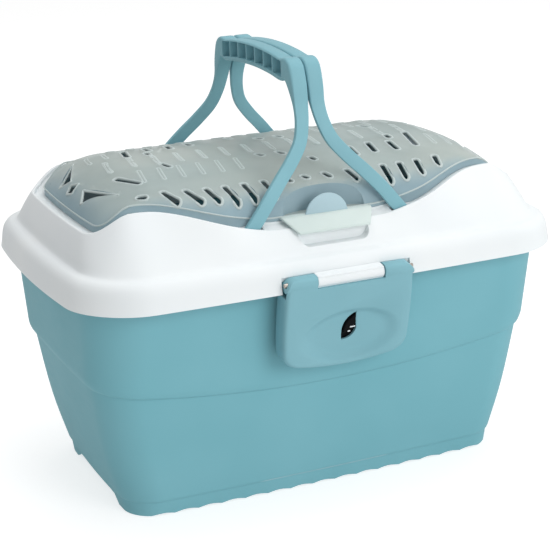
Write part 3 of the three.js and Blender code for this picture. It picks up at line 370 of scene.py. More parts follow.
class Material:
    """A node tree that is filled by calls of one method."""

    def __init__(self, name):
        self.material = bpy.data.materials.new(name)
        self.material.use_nodes = True
        self.nodes = self.material.node_tree.nodes
        self.links = self.material.node_tree.links
        self.nodes.clear()

    def node(self, kind, settings=None, values=None, output=0):
        made = self.nodes.new(kind)
        for key, setting in (settings or {}).items():
            if key == "ramp":
                for stop in setting[2:]:
                    made.color_ramp.elements.new(stop[0])
                for element, (place, shade) in zip(made.color_ramp.elements, sorted(setting)):
                    element.position = place
                    element.color = (shade, shade, shade, 1)
            else:
                setattr(made, key, setting)
        for key, value in (values or {}).items():
            socket = made.inputs[key]
            if isinstance(value, Value):
                self.links.new(value.socket, socket)
            else:
                socket.default_value = value
        return Value(self, made.outputs[output]) if made.outputs else made

    def mix(self, share, first, second):
        return self.node("ShaderNodeMix", {"data_type": "RGBA"}, {0: share, 6: first, 7: second}, 2)

    def noise(self, scale, detail=2.0, stretch=(1, 1, 1)):
        place = self.node("ShaderNodeTexCoord", output=3)
        mapped = self.node("ShaderNodeMapping", values={0: place, 3: stretch})
        return self.node("ShaderNodeTexNoise", values={0: mapped, 2: scale, 3: detail})

    def ramp(self, value, stops):
        return self.node("ShaderNodeValToRGB", {"ramp": stops}, {0: value})

    def shade(self, values):
        shader = self.node("ShaderNodeBsdfPrincipled", values=values)
        self.node("ShaderNodeOutputMaterial", values={0: shader})
        return self.material


def linear(level):
    return ((level / 255 + 0.055) / 1.055) ** 2.4 if level > 10 else level / 255 / 12.92


def rgb(red, green, blue):
    """A screen colour from 0 to 255, as the linear light that shaders use."""
    return linear(red), linear(green), linear(blue), 1


print("teal in linear light:", [round(c, 3) for c in rgb(122, 172, 185)])

# %% [markdown]
# The tub, the lid and the bails are moulded plastic with a fine satin grain. One function makes every
# colour of it: a soft change of tone over the surface, a fine grain in the bump, faint rubbed patches in
# the roughness, and edges that are paler where hands have rubbed them. A plain colour would be quicker,
# but no moulding is that even. The gloss stays low, because a shiny wall seen from the side turns white.


# %% Moulded plastic
GRAIN_SCALE = 900.0
PATCH_SCALE = 9.0
RUB_SCALE = 55.0
GRAIN_DEPTH = 0.0004
SHINE, COAT_ROUGHNESS = 0.07, 0.25
RUBBED = (0.85, 0.9, 0.92, 1)


def moulded(name, colour, deep, rough, grain=0.04, coat=0.0, wear=0.35, alpha=None, side=None):
    look = Material(name)
    patch = look.noise(PATCH_SCALE)
    rub = look.noise(RUB_SCALE, 4.0, (1, 1, 3))
    grain_height = look.noise(GRAIN_SCALE, 1.0)
    tone = look.mix(look.ramp(patch, [(0.35, 0), (0.65, 1)]), colour, deep)
    # Painted shade: when a side colour is given, faces that stand upright are tinted towards it and faces
    # that look up keep their tone.
    if side is not None:
        facing = look.node("ShaderNodeNewGeometry", output=1)
        upward = look.node("ShaderNodeSeparateXYZ", values={0: facing}, output=2)
        tone = look.mix(look.ramp(upward, [(0.45, 1), (0.93, 0)]), tone, side)
    edge = look.ramp(look.node("ShaderNodeNewGeometry", output=7), [(0.515, 0), (0.6, 1)])
    pale = look.mix(edge * (rub * wear), tone, RUBBED)
    bump = look.node("ShaderNodeBump", values={
        "Strength": grain, "Distance": GRAIN_DEPTH, "Height": grain_height})
    values = {"Base Color": pale, "Roughness": rough + (rub * 0.12 - 0.06), "Normal": bump,
              "Specular IOR Level": SHINE, "Coat Weight": coat, "Coat Roughness": COAT_ROUGHNESS}
    if alpha is not None:
        values["Alpha"] = alpha(look)
    return look.shade(values)


teal = moulded("teal_plastic", rgb(127, 184, 195), rgb(122, 180, 191), 0.45)
teal_light = moulded("teal_handles", rgb(137, 185, 196), rgb(131, 180, 191), 0.4, wear=0.0)
white = moulded("white_plastic", rgb(238, 242, 243), rgb(234, 239, 241), 0.38)
black = moulded("black_plastic", rgb(16, 16, 18), rgb(12, 12, 14), 0.45, wear=0.0)
print("plastics:", teal.name, teal_light.name, white.name, black.name)

# %% [markdown]
# The door is milky, see-through plastic: light and the dark of the cabin come through it. Real frosted
# plastic scatters light inside. Here the alpha lets part of what lies behind show, which costs little and
# also survives the export. The upright sides get a painted shade: their colour is tinted bluer than the
# crown's, for the shade of the cabin behind them. The rims round the slots and the ridges are thicker, and
# their paler colour is a painted highlight.


# %% Frosted plastic
def door_alpha(look):
    cloud = look.noise(14.0, 3.0)
    return 0.52 + cloud * 0.32


def frosted(name, colour, deep, least, spread, rough=0.3):
    """A thicker part of the door, almost opaque. Alpha is least, and up to spread more in places."""
    return moulded(name, colour, deep, rough, wear=0.1, alpha=lambda look: least + look.noise(30.0) * spread)


# Painted shade: the side colour is the bluer tint that the door's upright faces get.
frost = moulded("frosted_plastic", rgb(198, 208, 203), rgb(188, 202, 200), 0.3, wear=0.1,
                alpha=door_alpha, side=rgb(168, 194, 204))
# Painted highlight: the rims, ridges and crease line are paler than the sheet, where light catches them.
frost_pale_highlight = frosted("frosted_rims_painted_highlight", rgb(207, 218, 216), rgb(199, 212, 211), 0.8, 0.1)
frost_tab = frosted("frosted_tab", rgb(222, 234, 230), rgb(214, 229, 226), 0.86, 0.08)
frost_blue = frosted("frosted_thumb", rgb(184, 211, 220), rgb(178, 206, 216), 0.88, 0.06, rough=0.28)


print("frosted plastics:", frost.name, frost_pale_highlight.name, frost_tab.name, frost_blue.name)

# %% [markdown]
# The pins and screws are drawn steel wire with a warm tone. The drawing leaves fine lines along the wire,
# so the noise is stretched along it, and the same lines change the colour and the roughness a little.


# %% Steel
def steel_finish():
    look = Material("hinge_steel")
    drawn = look.noise(600.0, 3.0, (0.05, 1, 1))
    return look.shade({
        "Base Color": look.mix(drawn, (0.42, 0.36, 0.3, 1), (0.62, 0.57, 0.52, 1)), "Metallic": 1.0,
        "Roughness": 0.25 + drawn * 0.2})


steel = steel_finish()
print("metal:", steel.name)

# %% [markdown]
# A new piece needs three things before it counts: a material, a body to ride on, and the frame's nodes whose
# place it takes. One helper does all three, so that no piece can miss one of them.

# %% Dressing a piece
def dress(piece, material, body, slot, *nodes):
    """Gives a new piece its material and body, and hides the frame's nodes that it stands for."""
    piece.data.materials.clear()
    piece.data.materials.append(material)
    piece.data.update()
    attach(piece, body)
    if nodes:
        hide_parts(*nodes)
    print(f"{piece.name}: {len(piece.data.polygons)} faces on {body}")
    return piece


# %% [markdown]
# The tub is one thin shell: a skirt with a wavy foot, a belly that leans out, a ledge that runs round
# it in a shallow wave, and an upper wall up to the rim. Its outer and inner profiles are skinned as one
# closed loop, so the wall has its true thickness and the inside shows through the slots of the door.

# %% The tub
WALL = 3.0
UNDER_HEIGHT, SKIRT_HEIGHT, SKIRT_STEP = 9.0, 14.0, 2.0
LEDGE_HEIGHT, LEDGE_RISE, LEDGE_STEP, LEDGE_BLEND = 111.0, 19.0, 5.5, 7.0
FLUTE_PITCH, FLUTE_COUNT, FLUTE_DEPTH = 23.0, 15, 1.6
ARCH_HALF_WIDTH, ARCH_HEIGHT = 66.0, 8.0


def foot_edge(x, y):
    """Height of the skirt's lower edge: round bites along the sides, a flat arch at each end."""
    along = (x / FLUTE_PITCH + FLUTE_COUNT / 2) % 1.0 * 2 - 1
    bite = FLUTE_DEPTH * np.maximum(1 - (along / 0.92) ** 2, 0)
    fluted = FLUTE_PITCH * FLUTE_COUNT / 2
    on_side = (np.abs(y) > base_plan["width"] - base_plan["corner"] / 2) & (np.abs(x) < fluted)
    arch = ARCH_HEIGHT * smooth(ARCH_HALF_WIDTH - np.abs(y), 0, 2 * ARCH_HEIGHT)
    on_end = np.abs(x) > base_plan["length"] - base_plan["corner"] / 2
    return np.where(on_side, bite, 0) + np.where(on_end, arch, 0)


def ledge_z(x):
    return LEDGE_HEIGHT + LEDGE_RISE * (x / 219.0) ** 2


def tub_rings():
    belly = between(base_plan, ledge_plan, 0.5)
    step_plan = inset(ledge_plan, -LEDGE_STEP)

    def upper(share, drawn=0.0):
        return ring(inset(between(step_plan, rim_plan, share), drawn),
                    lambda x, y: (ledge_z(x) + LEDGE_BLEND) * (1 - share) + (RIM_TOP - HAIR) * share)

    outer = [
        (ring(inset(base_plan, WALL), UNDER_HEIGHT), 0),
        (ring(inset(base_plan, WALL), foot_edge), 0.8),
        (ring(base_plan, foot_edge), 1.0),
        (ring(inset(base_plan, -SKIRT_STEP), SKIRT_HEIGHT), 1.5),
        (ring(inset(base_plan, -2 * SKIRT_STEP), SKIRT_HEIGHT + SKIRT_STEP), 2.0),
        (ring(inset(belly, -2 * SKIRT_STEP, -SKIRT_STEP), lambda x, y: ledge_z(x) / 2), 30.0),
        (ring(ledge_plan, lambda x, y: ledge_z(x)), 2.0),
        (ring(inset(ledge_plan, -LEDGE_STEP * 0.55), lambda x, y: ledge_z(x) + 1.2), 1.2),
        (upper(0), 5.0),
        (upper(0.5), 0),
        (upper(1), 0.9),
    ]
    inner = [
        (upper(1, WALL), 0.9),
        (upper(0.5, WALL), 0),
        (upper(0, WALL), 3.0),
        (ring(inset(ledge_plan, WALL), lambda x, y: ledge_z(x) + 1.7), 3.0),
        (ring(inset(belly, WALL - 2 * SKIRT_STEP, WALL - SKIRT_STEP), lambda x, y: ledge_z(x) / 2), 20.0),
        (ring(inset(base_plan, WALL - 2 * SKIRT_STEP), UNDER_HEIGHT + 3 * WALL), 6.0),
        (ring(inset(base_plan, WALL + 8), UNDER_HEIGHT + WALL), 0),
    ]
    return rounded(outer + inner)


HINGE_X, HINGE_Y, HINGE_Z = 95.0, 169.8, 226.0
HINGE_RADIUS, LID_KNUCKLE, TUB_KNUCKLE = 5.2, 26.0, 12.0
PIN_HOLE = 2.3


def hinge_arms():
    """Arms behind the tub that hold the pins of the lid's hinges."""
    top = LIP_LOW - WALL
    arm = [(147, top - 27), (HINGE_Y + HINGE_RADIUS, top - 6), (HINGE_Y + HINGE_RADIUS, HINGE_Z),
           (HINGE_Y - HINGE_RADIUS, HINGE_Z), (HINGE_Y - HINGE_RADIUS, top), (147, top)]
    arms = []
    for start in (HINGE_X + LID_KNUCKLE / 2 + 0.5, HINGE_X - LID_KNUCKLE / 2 - 0.5 - TUB_KNUCKLE):
        piece = join(prism(arm, 0, start, start + TUB_KNUCKLE),
                     rod(0, start, start + TUB_KNUCKLE, HINGE_RADIUS - HAIR / 3, (HINGE_Y, HINGE_Z)))
        cut(piece, rod(0, start - 5, start + TUB_KNUCKLE + 5, PIN_HOLE, (HINGE_Y, HINGE_Z)))
        arms += [piece, flip(piece, x=-1)]
    return arms


def feet():
    """One pad under each corner of the floor, trimmed to the round of the skirt."""
    low, high = (148.5, 66.5), (178.5, 92.5)
    inside = skin("form", [ring(inset(base_plan, WALL + 0.5), z) for z in (0, UNDER_HEIGHT + 1)])
    made = trimmed(corners_of(lambda: block((*low, 0), (*high, UNDER_HEIGHT + 1))), inside)
    bpy.data.objects.remove(inside)
    return made


tub = skin("tub_shell", tub_rings(), "zip")
join(tub, *feet(), *hinge_arms())
finish(tub, bevel=0.4, bevel_angle=50)
dress(tub, teal, "tub", "teal_plastic", "tub", "tub_floor")

# %% [markdown]
# The lid is a second thin shell. Its lip hangs over the tub's rim, a broad flange runs back to the foot of
# the dome, and the dome's wall climbs to an edge that dips in the middle of the long sides and rises
# to humps near the corners. Inside that edge lie a narrow channel and the ledge that the door rests on.

# %% The lid's shell
SADDLE_LOW, SADDLE_RISE, SADDLE_DROP = 262.0, 26.0, 18.0
FLANGE_TOP, DOME_FOOT = 240.0, 241.5
CHANNEL_DEPTH, LEDGE_LIFT = 3.5, 4.0
RIM_LAND = 2.5
edge_x = outline(edge_plan)[:, 0]
edge_hump = smooth(np.abs(edge_x), SADDLE_START, SADDLE_PEAK)
edge_z = SADDLE_LOW + SADDLE_RISE * edge_hump - SADDLE_DROP * smooth(np.abs(edge_x), SADDLE_FALL, 215.0)
channel_share = smooth(np.abs(edge_x), 60.0, 90.0)
channel_z = edge_z - 0.4 - (CHANNEL_DEPTH - 0.4) * channel_share
land_z = edge_z + LEDGE_LIFT - (LEDGE_LIFT + CHANNEL_DEPTH) * channel_share
LEDGE_TOP = SADDLE_LOW + LEDGE_LIFT


def lid_rings():
    def wall(share):
        return between(foot_plan, edge_plan, share)

    def wall_z(share, drop=0.0):
        return DOME_FOOT + (edge_z - DOME_FOOT) * share - drop

    outer = [
        (ring(lip_plan, LIP_LOW + HAIR), 1.0),
        (ring(inset(lip_plan, 0.9), 218), 4),
        (ring(inset(lip_plan, 2.4), 229.2), 6),
        (ring(inset(lip_plan, 4.8), 235.2), 3),
        (ring(inset(lip_plan, 9), 239), 3),
        (ring(between(inset(lip_plan, 9), foot_plan, 0.66), FLANGE_TOP), 3),
        (ring(foot_plan, DOME_FOOT), 6),
        (ring(inset(wall(1 / 3), -1), wall_z(1 / 3)), 9),
        (ring(inset(wall(2 / 3), -1), wall_z(2 / 3)), 9),
        (ring(edge_plan, edge_z), 1.6),
        (ring(inset(edge_plan, RIM_LAND), edge_z - 0.4), 0.8),
        (ring(inset(edge_plan, RIM_LAND + 0.4), channel_z), 0.6),
        (ring(inset(door_plan, -0.6), channel_z * 0.4 + land_z * 0.6), 0.8),
        (ring(door_plan, land_z), 0),
        (ring(inset(door_plan, 2.4), land_z), 0),
        (ring(opening_plan, land_z), 0.8),
    ]
    seat = inset(rim_plan, 5.5)
    inner = [
        (ring(opening_plan, land_z - WALL), 0.8),
        (ring(door_plan, land_z - WALL), 2),
        (ring(inset(edge_plan, 6), channel_z - WALL), 2),
        (ring(inset(wall(2 / 3), WALL), wall_z(2 / 3, WALL)), 6),
        (ring(inset(wall(1 / 3), WALL), wall_z(1 / 3, 1)), 6),
        (ring(seat, FLANGE_TOP), 0),
        (ring(seat, RIM_TOP + HAIR), 0.5),
        (ring(inset(rim_plan, -1.5), RIM_TOP + HAIR), 0.5),
        (ring(inset(rim_plan, -1.5), FLANGE_TOP - WALL), 1),
        (ring(inset(lip_plan, 10.2), FLANGE_TOP - 4.2), 2),
        (ring(inset(lip_plan, 6), 229.2), 4),
        (ring(inset(lip_plan, 2.6), LIP_LOW + HAIR), 0.6),
    ]
    return rounded(outer), rounded(inner)


lid_outer, lid_inner = lid_rings()
lid = skin("lid_shell", lid_outer + lid_inner, "loop")
print("lid shell:", len(lid.data.polygons), "faces")

# %% [markdown]
# The shell is then fitted out: lined pockets for the feet of the bails, cheeks for the door's rear pins,
# a finger scoop under the door's tab, notches and a knuckle for the latch, and the rear knuckles. A lining
# is a block that is trimmed by the lid's own outer form before it is joined, so it never shows outside.

# %% The lid's pockets, scoop and knuckles
PIVOT_X = 78.0
PIVOT_Y = (high_mm("right_bail_rear_pin")[1] + low_mm("right_bail_rear_pin")[1]) / 2 + 0.5
PIVOT_Z = 258.0
POCKET_HALF, POCKET_REACH, POCKET_WALL = 15.0, 31.0, 2.6
SCOOP_DEPTH, SCOOP_HALF, SCOOP_BACK, SCOOP_CORNER = 16.0, 34.0, 135.5, 9.0
LEG_WALL = 5.0
FOOT_RADIUS, BAIL_PIN_HOLE = 7.5, 2.8
DOOR_HINGE_X, DOOR_HINGE_Y, DOOR_HINGE_Z = 27.0, 125.5, 266.0
LATCH_EAR_RADIUS, LATCH_HALF_WIDTH, KNUCKLE_HALF = 7.0, 61.5, 32.0
latch_place = Matrix.Translation(Vector((0, -168, 222)) * MM) @ Matrix.Rotation(0.195, 4, "X")


def fit_lid():
    form = skin("form", lid_outer, "zip")
    low, high = PIVOT_Y - LEG_WALL / 2 - 0.5, PIVOT_Y + LEG_WALL / 2 + 0.5
    bottom = PIVOT_Z - FOOT_RADIUS - 0.5
    near, far = PIVOT_X - POCKET_HALF, PIVOT_X + POCKET_REACH
    drawn = (high - low) / 3
    hollow = [(near, low), (PIVOT_X, low), (far, low - drawn), (far, high - drawn),
              (PIVOT_X + POCKET_HALF, high), (near, high)]
    linings = corners_of(lambda: block((near - POCKET_WALL, low - POCKET_WALL, bottom - POCKET_WALL),
                                       (far + POCKET_WALL, high + POCKET_WALL, LEDGE_TOP)))
    clear, half, outer = 4.5, 7.5, 13.0
    at = (DOOR_HINGE_Y, DOOR_HINGE_Z)
    linings += both_ends(lambda: block((DOOR_HINGE_X - outer, at[0] - clear - 5.5, at[1] - clear - WALL),
                                       (DOOR_HINGE_X + outer, at[0] + clear, LEDGE_TOP)))
    scoop_low = SADDLE_LOW - SCOOP_DEPTH
    linings.append(block((-SCOOP_HALF - WALL, -SCOOP_BACK - 12, scoop_low - WALL),
                         (SCOOP_HALF + WALL, -SCOOP_BACK + WALL, SADDLE_LOW - WALL)))
    join(lid, *trimmed(linings, form))
    bpy.data.objects.remove(form)

    def cheeks():
        base = block((DOOR_HINGE_X - outer, at[0] - 4, at[1] - clear),
                     (DOOR_HINGE_X + outer, at[0] + 4, at[1]))
        return join(rod(0, DOOR_HINGE_X - outer, DOOR_HINGE_X + outer, 4, at), base)

    def knuckle_room():
        above = block((DOOR_HINGE_X - half, at[0] - clear, at[1]),
                      (DOOR_HINGE_X + half, at[0] + clear, at[1] + 30))
        return join(rod(0, DOOR_HINGE_X - half, DOOR_HINGE_X + half, clear, at), above)

    join(lid, *both_ends(cheeks))
    cut(lid, *corners_of(lambda: prism(hollow, 2, bottom, SADDLE_LOW + SADDLE_RISE)))
    cut(lid, *corners_of(lambda: rod(1, low - 3, high + 1.3, BAIL_PIN_HOLE, (PIVOT_X, PIVOT_Z))))
    cut(lid, *both_ends(knuckle_room))
    cut(lid, *both_ends(lambda: rod(0, DOOR_HINGE_X - outer - 1, DOOR_HINGE_X + outer + 1, PIN_HOLE, at)))
    turn = [(SCOOP_HALF - SCOOP_CORNER + SCOOP_CORNER * math.sin(a),
             scoop_low + SCOOP_CORNER - SCOOP_CORNER * math.cos(a)) for a in np.linspace(0, math.pi / 2, 9)]
    scoop = turn + [(SCOOP_HALF, 290), (-SCOOP_HALF, 290)] + [(-x, z) for x, z in reversed(turn)]
    cut(lid, prism(scoop, 1, -SCOOP_BACK - 12, -SCOOP_BACK))


def fit_lid_to_latch():
    clear, outer = LATCH_EAR_RADIUS + 0.9, LATCH_HALF_WIDTH + 1.2
    notches = both_ends(lambda: join(rod(0, KNUCKLE_HALF, outer, clear, (0, 0)),
                                     block((KNUCKLE_HALF, -clear, -30), (outer, clear, 0))))
    knuckle = join(rod(0, -KNUCKLE_HALF, KNUCKLE_HALF, 5.5, (0, 0)),
                   block((-KNUCKLE_HALF, -3.6, -10), (KNUCKLE_HALF, 5.5, 5.4)))
    cut(lid, *turned(notches, latch_place))
    join(lid, *turned([knuckle], latch_place))
    cut(lid, *turned([rod(0, -140, 140, PIN_HOLE, (0, 0))], latch_place))


def fit_lid_hinges():
    at = (HINGE_Y, HINGE_Z)
    half = LID_KNUCKLE / 2
    outer = half + TUB_KNUCKLE + 1

    def room():
        below = block((HINGE_X - outer, 151.5, LIP_LOW - 30), (HINGE_X + outer, HINGE_Y + 30, HINGE_Z))
        return join(rod(0, HINGE_X - outer, HINGE_X + outer, HINGE_RADIUS + 0.5, at), below)

    def knuckle():
        root = block((HINGE_X - half, 157.9, HINGE_Z), (HINGE_X + half, HINGE_Y, HINGE_Z + 4.8))
        return join(rod(0, HINGE_X - half, HINGE_X + half, HINGE_RADIUS - HAIR / 3, at), root)

    cut(lid, *both_ends(room))
    join(lid, *both_ends(knuckle))
    cut(lid, *both_ends(lambda: rod(0, HINGE_X - outer, HINGE_X + outer, PIN_HOLE, at)))


fit_lid()
fit_lid_to_latch()
fit_lid_hinges()
finish(lid, bevel=0.5, bevel_angle=55)
dress(lid, white, "lid", "white_plastic", "lid")

# %% [markdown]
# The top door is a crowned sheet with one continuous wall, 2.4 mm thick. Its surface rises from a short
# upright band over a round shoulder to the crown. The same rings, drawn in by the wall, give its inner
# face, and the crown is closed by joining the two halves of the last ring like a zip.

# %% The top door's sheet
DOOR_WALL = 2.4
CROWN_TOP = 307.0
BAND_TOP = SADDLE_LOW + 8
INWARD_STEPS = [0, 0.012, 0.03, 0.05, 0.075, 0.1, 0.13, 0.165, 0.2, 0.24, 0.3, 0.36, 0.44, 0.52, 0.6, 0.68,
                0.76, 0.84, 0.92, 1]
SHOULDER_SHARE, SHOULDER_POWER = 0.27, 3.7
band_z = edge_z + 8.0 - 4.0 * edge_hump


def crown_z(x, y):
    past = np.maximum(np.abs(x) - 141.0, 0)
    return CROWN_TOP - y ** 2 / 860.0 - past ** 2 / 166.0


def door_rings(wall):
    edge = inset(door_plan, wall)
    rim = outline(door_plan)
    drops = np.maximum(crown_z(rim[:, 0], rim[:, 1]) - band_z, 0)
    deepest = edge["width"] - edge["side_bow"] - edge["pinch"] - 7.0
    stations = [(ring(edge, land_z + HAIR), 0)]
    for inward in INWARD_STEPS:
        shape = {**inset(edge, inward * deepest), "pinch": edge["pinch"] * (1 - inward)}
        left = max(1 - inward / SHOULDER_SHARE, 0) ** SHOULDER_POWER
        points = outline(shape)
        height = crown_z(points[:, 0], points[:, 1]) - drops * left - wall
        stations.append((np.column_stack([points, height]), 1.6 if inward == 0 else 0))
    return rounded(stations)


door_outer = door_rings(0.0)
door = skin("top_door_sheet", door_rings(DOOR_WALL)[::-1] + door_outer, "zip")
door_form = skin("door_form", door_outer, "zip")
door_surface = BVHTree.FromPolygons([v.co / MM for v in door_form.data.vertices],
                                    [tuple(p.vertices) for p in door_form.data.polygons])


def door_z(x, y):
    """Height of the door's outer face above a place in the plan."""
    hit = door_surface.ray_cast(Vector((x, y, 400)), Vector((0, 0, -1)))[0]
    return hit.z if hit else BAND_TOP


print("crown height over the middle:", round(door_z(0, 1), 1))

# %% [markdown]
# The slots let air in: a leaning row along each long edge, a few slanted ones over the top, and wedges at
# the ends. Each is cut right through the sheet, and a soft bead runs round its mouth, because the moulding
# is thicker there. Low slanted ridges stiffen the crown between them. The places are written as shares
# of the door's half length and half width. The rear half is the front half turned half a turn.

# %% The door's slots
SLOT_WIDTH, SLOT_LENGTH = 7.2, 24.0
SLOT_ROW_REACH, SLOT_ROW_HEIGHT, PINCHED = 0.7764, 0.75, 23.0 * 0.45
RIDGE_WIDTH, RIDGE_LEAN = 3.0, 0.15
row_slots = [(-1.02, 0.38), (-0.885, 0.85), (-0.76, 0.98), (-0.645, 1.0), (-0.535, 1.08), (-0.42, 1.05),
             (-0.3, 1.0), (-0.16, 0.5), (-0.05, 0.42), (0.08, 0.55), (0.225, 0.85), (0.35, 1.0),
             (0.455, 1.05), (0.565, 1.02), (0.68, 0.98), (0.815, 0.75)]
lean_places = (-160, -120, -100, -60, 0, 40, 80, 160)
lean_steps = (10, 8, 4.5, 2.5, 4, 3, -2.5, -4)
top_slots = [(-0.81, 0.31, -0.75, 0.5), (-0.57, 0.17, -0.555, 0.26), (-0.12, 0.24, -0.11, 0.28),
             (-0.02, 0.25, -0.01, 0.3), (0.085, 0.47, 0.09, 0.51), (0.31, 0.36, 0.3, 0.52),
             (0.42, 0.32, 0.4, 0.51), (0.52, 0.35, 0.51, 0.52), (0.66, 0.18, 0.62, 0.49),
             (0.56, 0.18, 0.555, 0.25)]
ridge_rows = [(-0.72, -0.26, 6, 0.27, 0.5), (-0.8, 0.78, 15, -0.12, 0.14), (0.72, 0.8, 2, 0.27, 0.5)]
wedge = [(0.85, 0.56), (0.935, 0.15), (0.972, 0.27)]
end_quad = [(0.975, 0.07), (0.945, 0.1), (0.925, 0), (0.965, -0.03)]
door_reach = door_plan["length"] + HAIR
door_half = door_plan["width"] + HAIR


def stadium(a, b, width, steps=8):
    """The outline of a slot with round ends, counterclockwise."""
    along = math.atan2(b[1] - a[1], b[0] - a[0])
    points = []
    for centre, start in ((b, along - math.pi / 2), (a, along + math.pi / 2)):
        points += [(centre[0] + width / 2 * math.cos(start + math.pi * i / steps),
                    centre[1] + width / 2 * math.sin(start + math.pi * i / steps)) for i in range(steps + 1)]
    return np.array(points)


def softened(corners, radius=1.2, steps=4):
    """A polygon whose corners are rounded."""
    corners = np.array(corners, float)
    points = []
    for k, here in enumerate(corners):
        before, after = corners[k - 1], corners[(k + 1) % len(corners)]
        a = here + (before - here) * radius / np.linalg.norm(before - here)
        b = here + (after - here) * radius / np.linalg.norm(after - here)
        points += [a * (1 - t) ** 2 + here * 2 * t * (1 - t) + b * t ** 2 for t in np.linspace(0, 1, steps)]
    return np.array(points)


def slot_outlines():
    shapes = []
    for place, length in row_slots:
        x = door_reach * SLOT_ROW_REACH * place
        half = door_half - PINCHED * smooth(abs(x), PINCH_START, SADDLE_PEAK)
        high = -half * SLOT_ROW_HEIGHT - SLOT_WIDTH / 2
        run = max(SLOT_LENGTH * length - SLOT_WIDTH, 0.01)
        lean = np.interp(x, lean_places, lean_steps) * length
        shapes.append(stadium((x + lean, high - run), (x, high), SLOT_WIDTH))
    for ax, ay, bx, by in top_slots:
        shapes.append(stadium((bx * door_reach, -by * door_half),
                              (ax * door_reach, -ay * door_half), SLOT_WIDTH))
    shapes += [-s for s in shapes]
    scale = np.array([door_reach, door_half])
    for sx in (1, -1):
        shapes.append(softened(np.array(end_quad) * scale * (sx, 1))[::sx])
        for sy in (1, -1):
            shapes.append(softened(np.array(wedge) * scale * (sx, sy))[::sx * sy])
    return shapes


def ridge_outlines():
    """Short slanted ridges over the crown, which stiffen the sheet between its slots."""
    shapes = []
    for start, stop, count, low, high in ridge_rows:
        for x in np.linspace(start, stop, count):
            lean = RIDGE_LEAN * (high - low) * door_half
            shapes.append(stadium((x * door_reach + lean, -low * door_half),
                                  (x * door_reach, -high * door_half), RIDGE_WIDTH))
    return shapes + [-s for s in shapes]


def bead(points, radius, sink=0.3, lift=door_z):
    """A thin round bead along a closed outline, lying on the door."""
    path = np.array([(x, y, lift(x, y) - sink) for x, y in points])
    rings = []
    for i, here in enumerate(path):
        run = path[(i + 1) % len(path)] - path[i - 1]
        run = run / max(np.linalg.norm(run), 1e-6)
        side = np.cross(run, (0, 0, 1))
        side = side / max(np.linalg.norm(side), 1e-6)
        up = np.cross(side, run)
        rings.append(np.array([here + radius * (math.cos(a) * side + math.sin(a) * up)
                               for a in np.arange(6) * math.pi / 3]))
    return rings


def bead_mesh(name, closed_paths, radius, **how):
    points, faces = [], []
    for path in closed_paths:
        rings = bead(path, radius, **how)
        start = len(points)
        for here in rings:
            points += list(here)
        for i in range(len(rings)):
            low, high = start + i * 6, start + (i + 1) % len(rings) * 6
            faces += [(low + j, low + (j + 1) % 6, high + (j + 1) % 6, high + j) for j in range(6)]
    return mesh_object(name, points, faces)


def together(pieces):
    first = pieces[0]
    bm = bmesh.new()
    for piece in pieces:
        bm.from_mesh(piece.data)
    bm.to_mesh(first.data)
    bm.free()
    for piece in pieces[1:]:
        bpy.data.objects.remove(piece)
    return first


slots = slot_outlines()
print(len(slots), "slots in the door")

# %% [markdown]
# In the middle of the front the door carries the parts that a hand uses: a sunk bay, a half-round thumb
# plate that stands in front of it, and a sloping tab below. The plate and the tab are thicker, so they are
# meshes of their own with a denser finish. Two knuckles at the rear take the hinge pins.

# %% The door's bay, tab and knuckles
BAY_HALF, BAY_LENGTH = 40.0, 12.0
TAB_SHELF, TAB_REACH, TAB_DROP = 6.0, 15.8, 10.5
TAB_HALF, TAB_END_HALF, TAB_BEND = 44.0, 34.5, 3.0
THUMB_RADIUS, THUMB_SINK = 21.0, 4.0
DOOR_KNUCKLE_HALF, DOOR_KNUCKLE_RADIUS = 7.0, 4.0


def bay_outline(grow, steps=28):
    arch = [((BAY_HALF + grow) * math.cos(a), -door_half + (BAY_LENGTH + grow) * math.sin(a))
            for a in np.linspace(0, math.pi, steps)]
    return arch + [(-BAY_HALF - grow, -door_half - 30), (BAY_HALF + grow, -door_half - 30)]


def fit_door():
    lining = prism(bay_outline(DOOR_WALL), 2, BAND_TOP - DOOR_WALL, BAND_TOP + 30)
    join(door, *trimmed([lining], door_form))
    cut(door, prism(bay_outline(0), 2, BAND_TOP, BAND_TOP + 40))
    cut(door, together([prism(s, 2, SADDLE_LOW + 2, CROWN_TOP + 8) for s in slots]))
    root, knee = -door_half + DOOR_WALL, -door_half - TAB_SHELF
    sections = []
    for y, z, half in ((root, BAND_TOP, TAB_HALF), (knee, BAND_TOP, TAB_HALF),
                       (knee - TAB_REACH, BAND_TOP - TAB_DROP, TAB_END_HALF)):
        under = z - DOOR_WALL
        sections.append(np.array([(-half, y, under), (half, y, under), (half, y, z), (-half, y, z)]))
    tab = skin("door_tab", rounded([(sections[0], 0), (sections[1], TAB_BEND), (sections[2], 0)]))
    low = math.asin((THUMB_SINK - 1.2) / THUMB_RADIUS)
    plate = [(THUMB_RADIUS * math.cos(a), BAND_TOP - THUMB_SINK + THUMB_RADIUS * math.sin(a))
             for a in np.linspace(low, math.pi - low, 40)]
    thumb = prism(plate, 1, knee + 1.2, knee + 3.6)
    thumb.name = "thumb_plate"
    dress(finish(tab, bevel=0.7, bevel_angle=50), frost_tab, "top_door", "frosted_plastic")
    dress(finish(thumb, bevel=0.7, bevel_angle=50), frost_blue, "top_door", "frosted_plastic")
    at = (DOOR_HINGE_Y, DOOR_HINGE_Z)
    left, right = DOOR_HINGE_X - DOOR_KNUCKLE_HALF, DOOR_HINGE_X + DOOR_KNUCKLE_HALF

    def knuckle():
        root = block((left, door_half - 4.8, LEDGE_TOP + 0.5), (right, DOOR_HINGE_Y, DOOR_HINGE_Z + 3.6))
        return join(rod(0, left, right, DOOR_KNUCKLE_RADIUS, at), root)

    join(door, *both_ends(knuckle))
    cut(door, *both_ends(lambda: rod(0, left - 2, right + 2, PIN_HOLE, at)))


fit_door()
finish(door, bevel=0.5, bevel_angle=50)
dress(door, frost, "top_door", "frosted_plastic", "top_door")
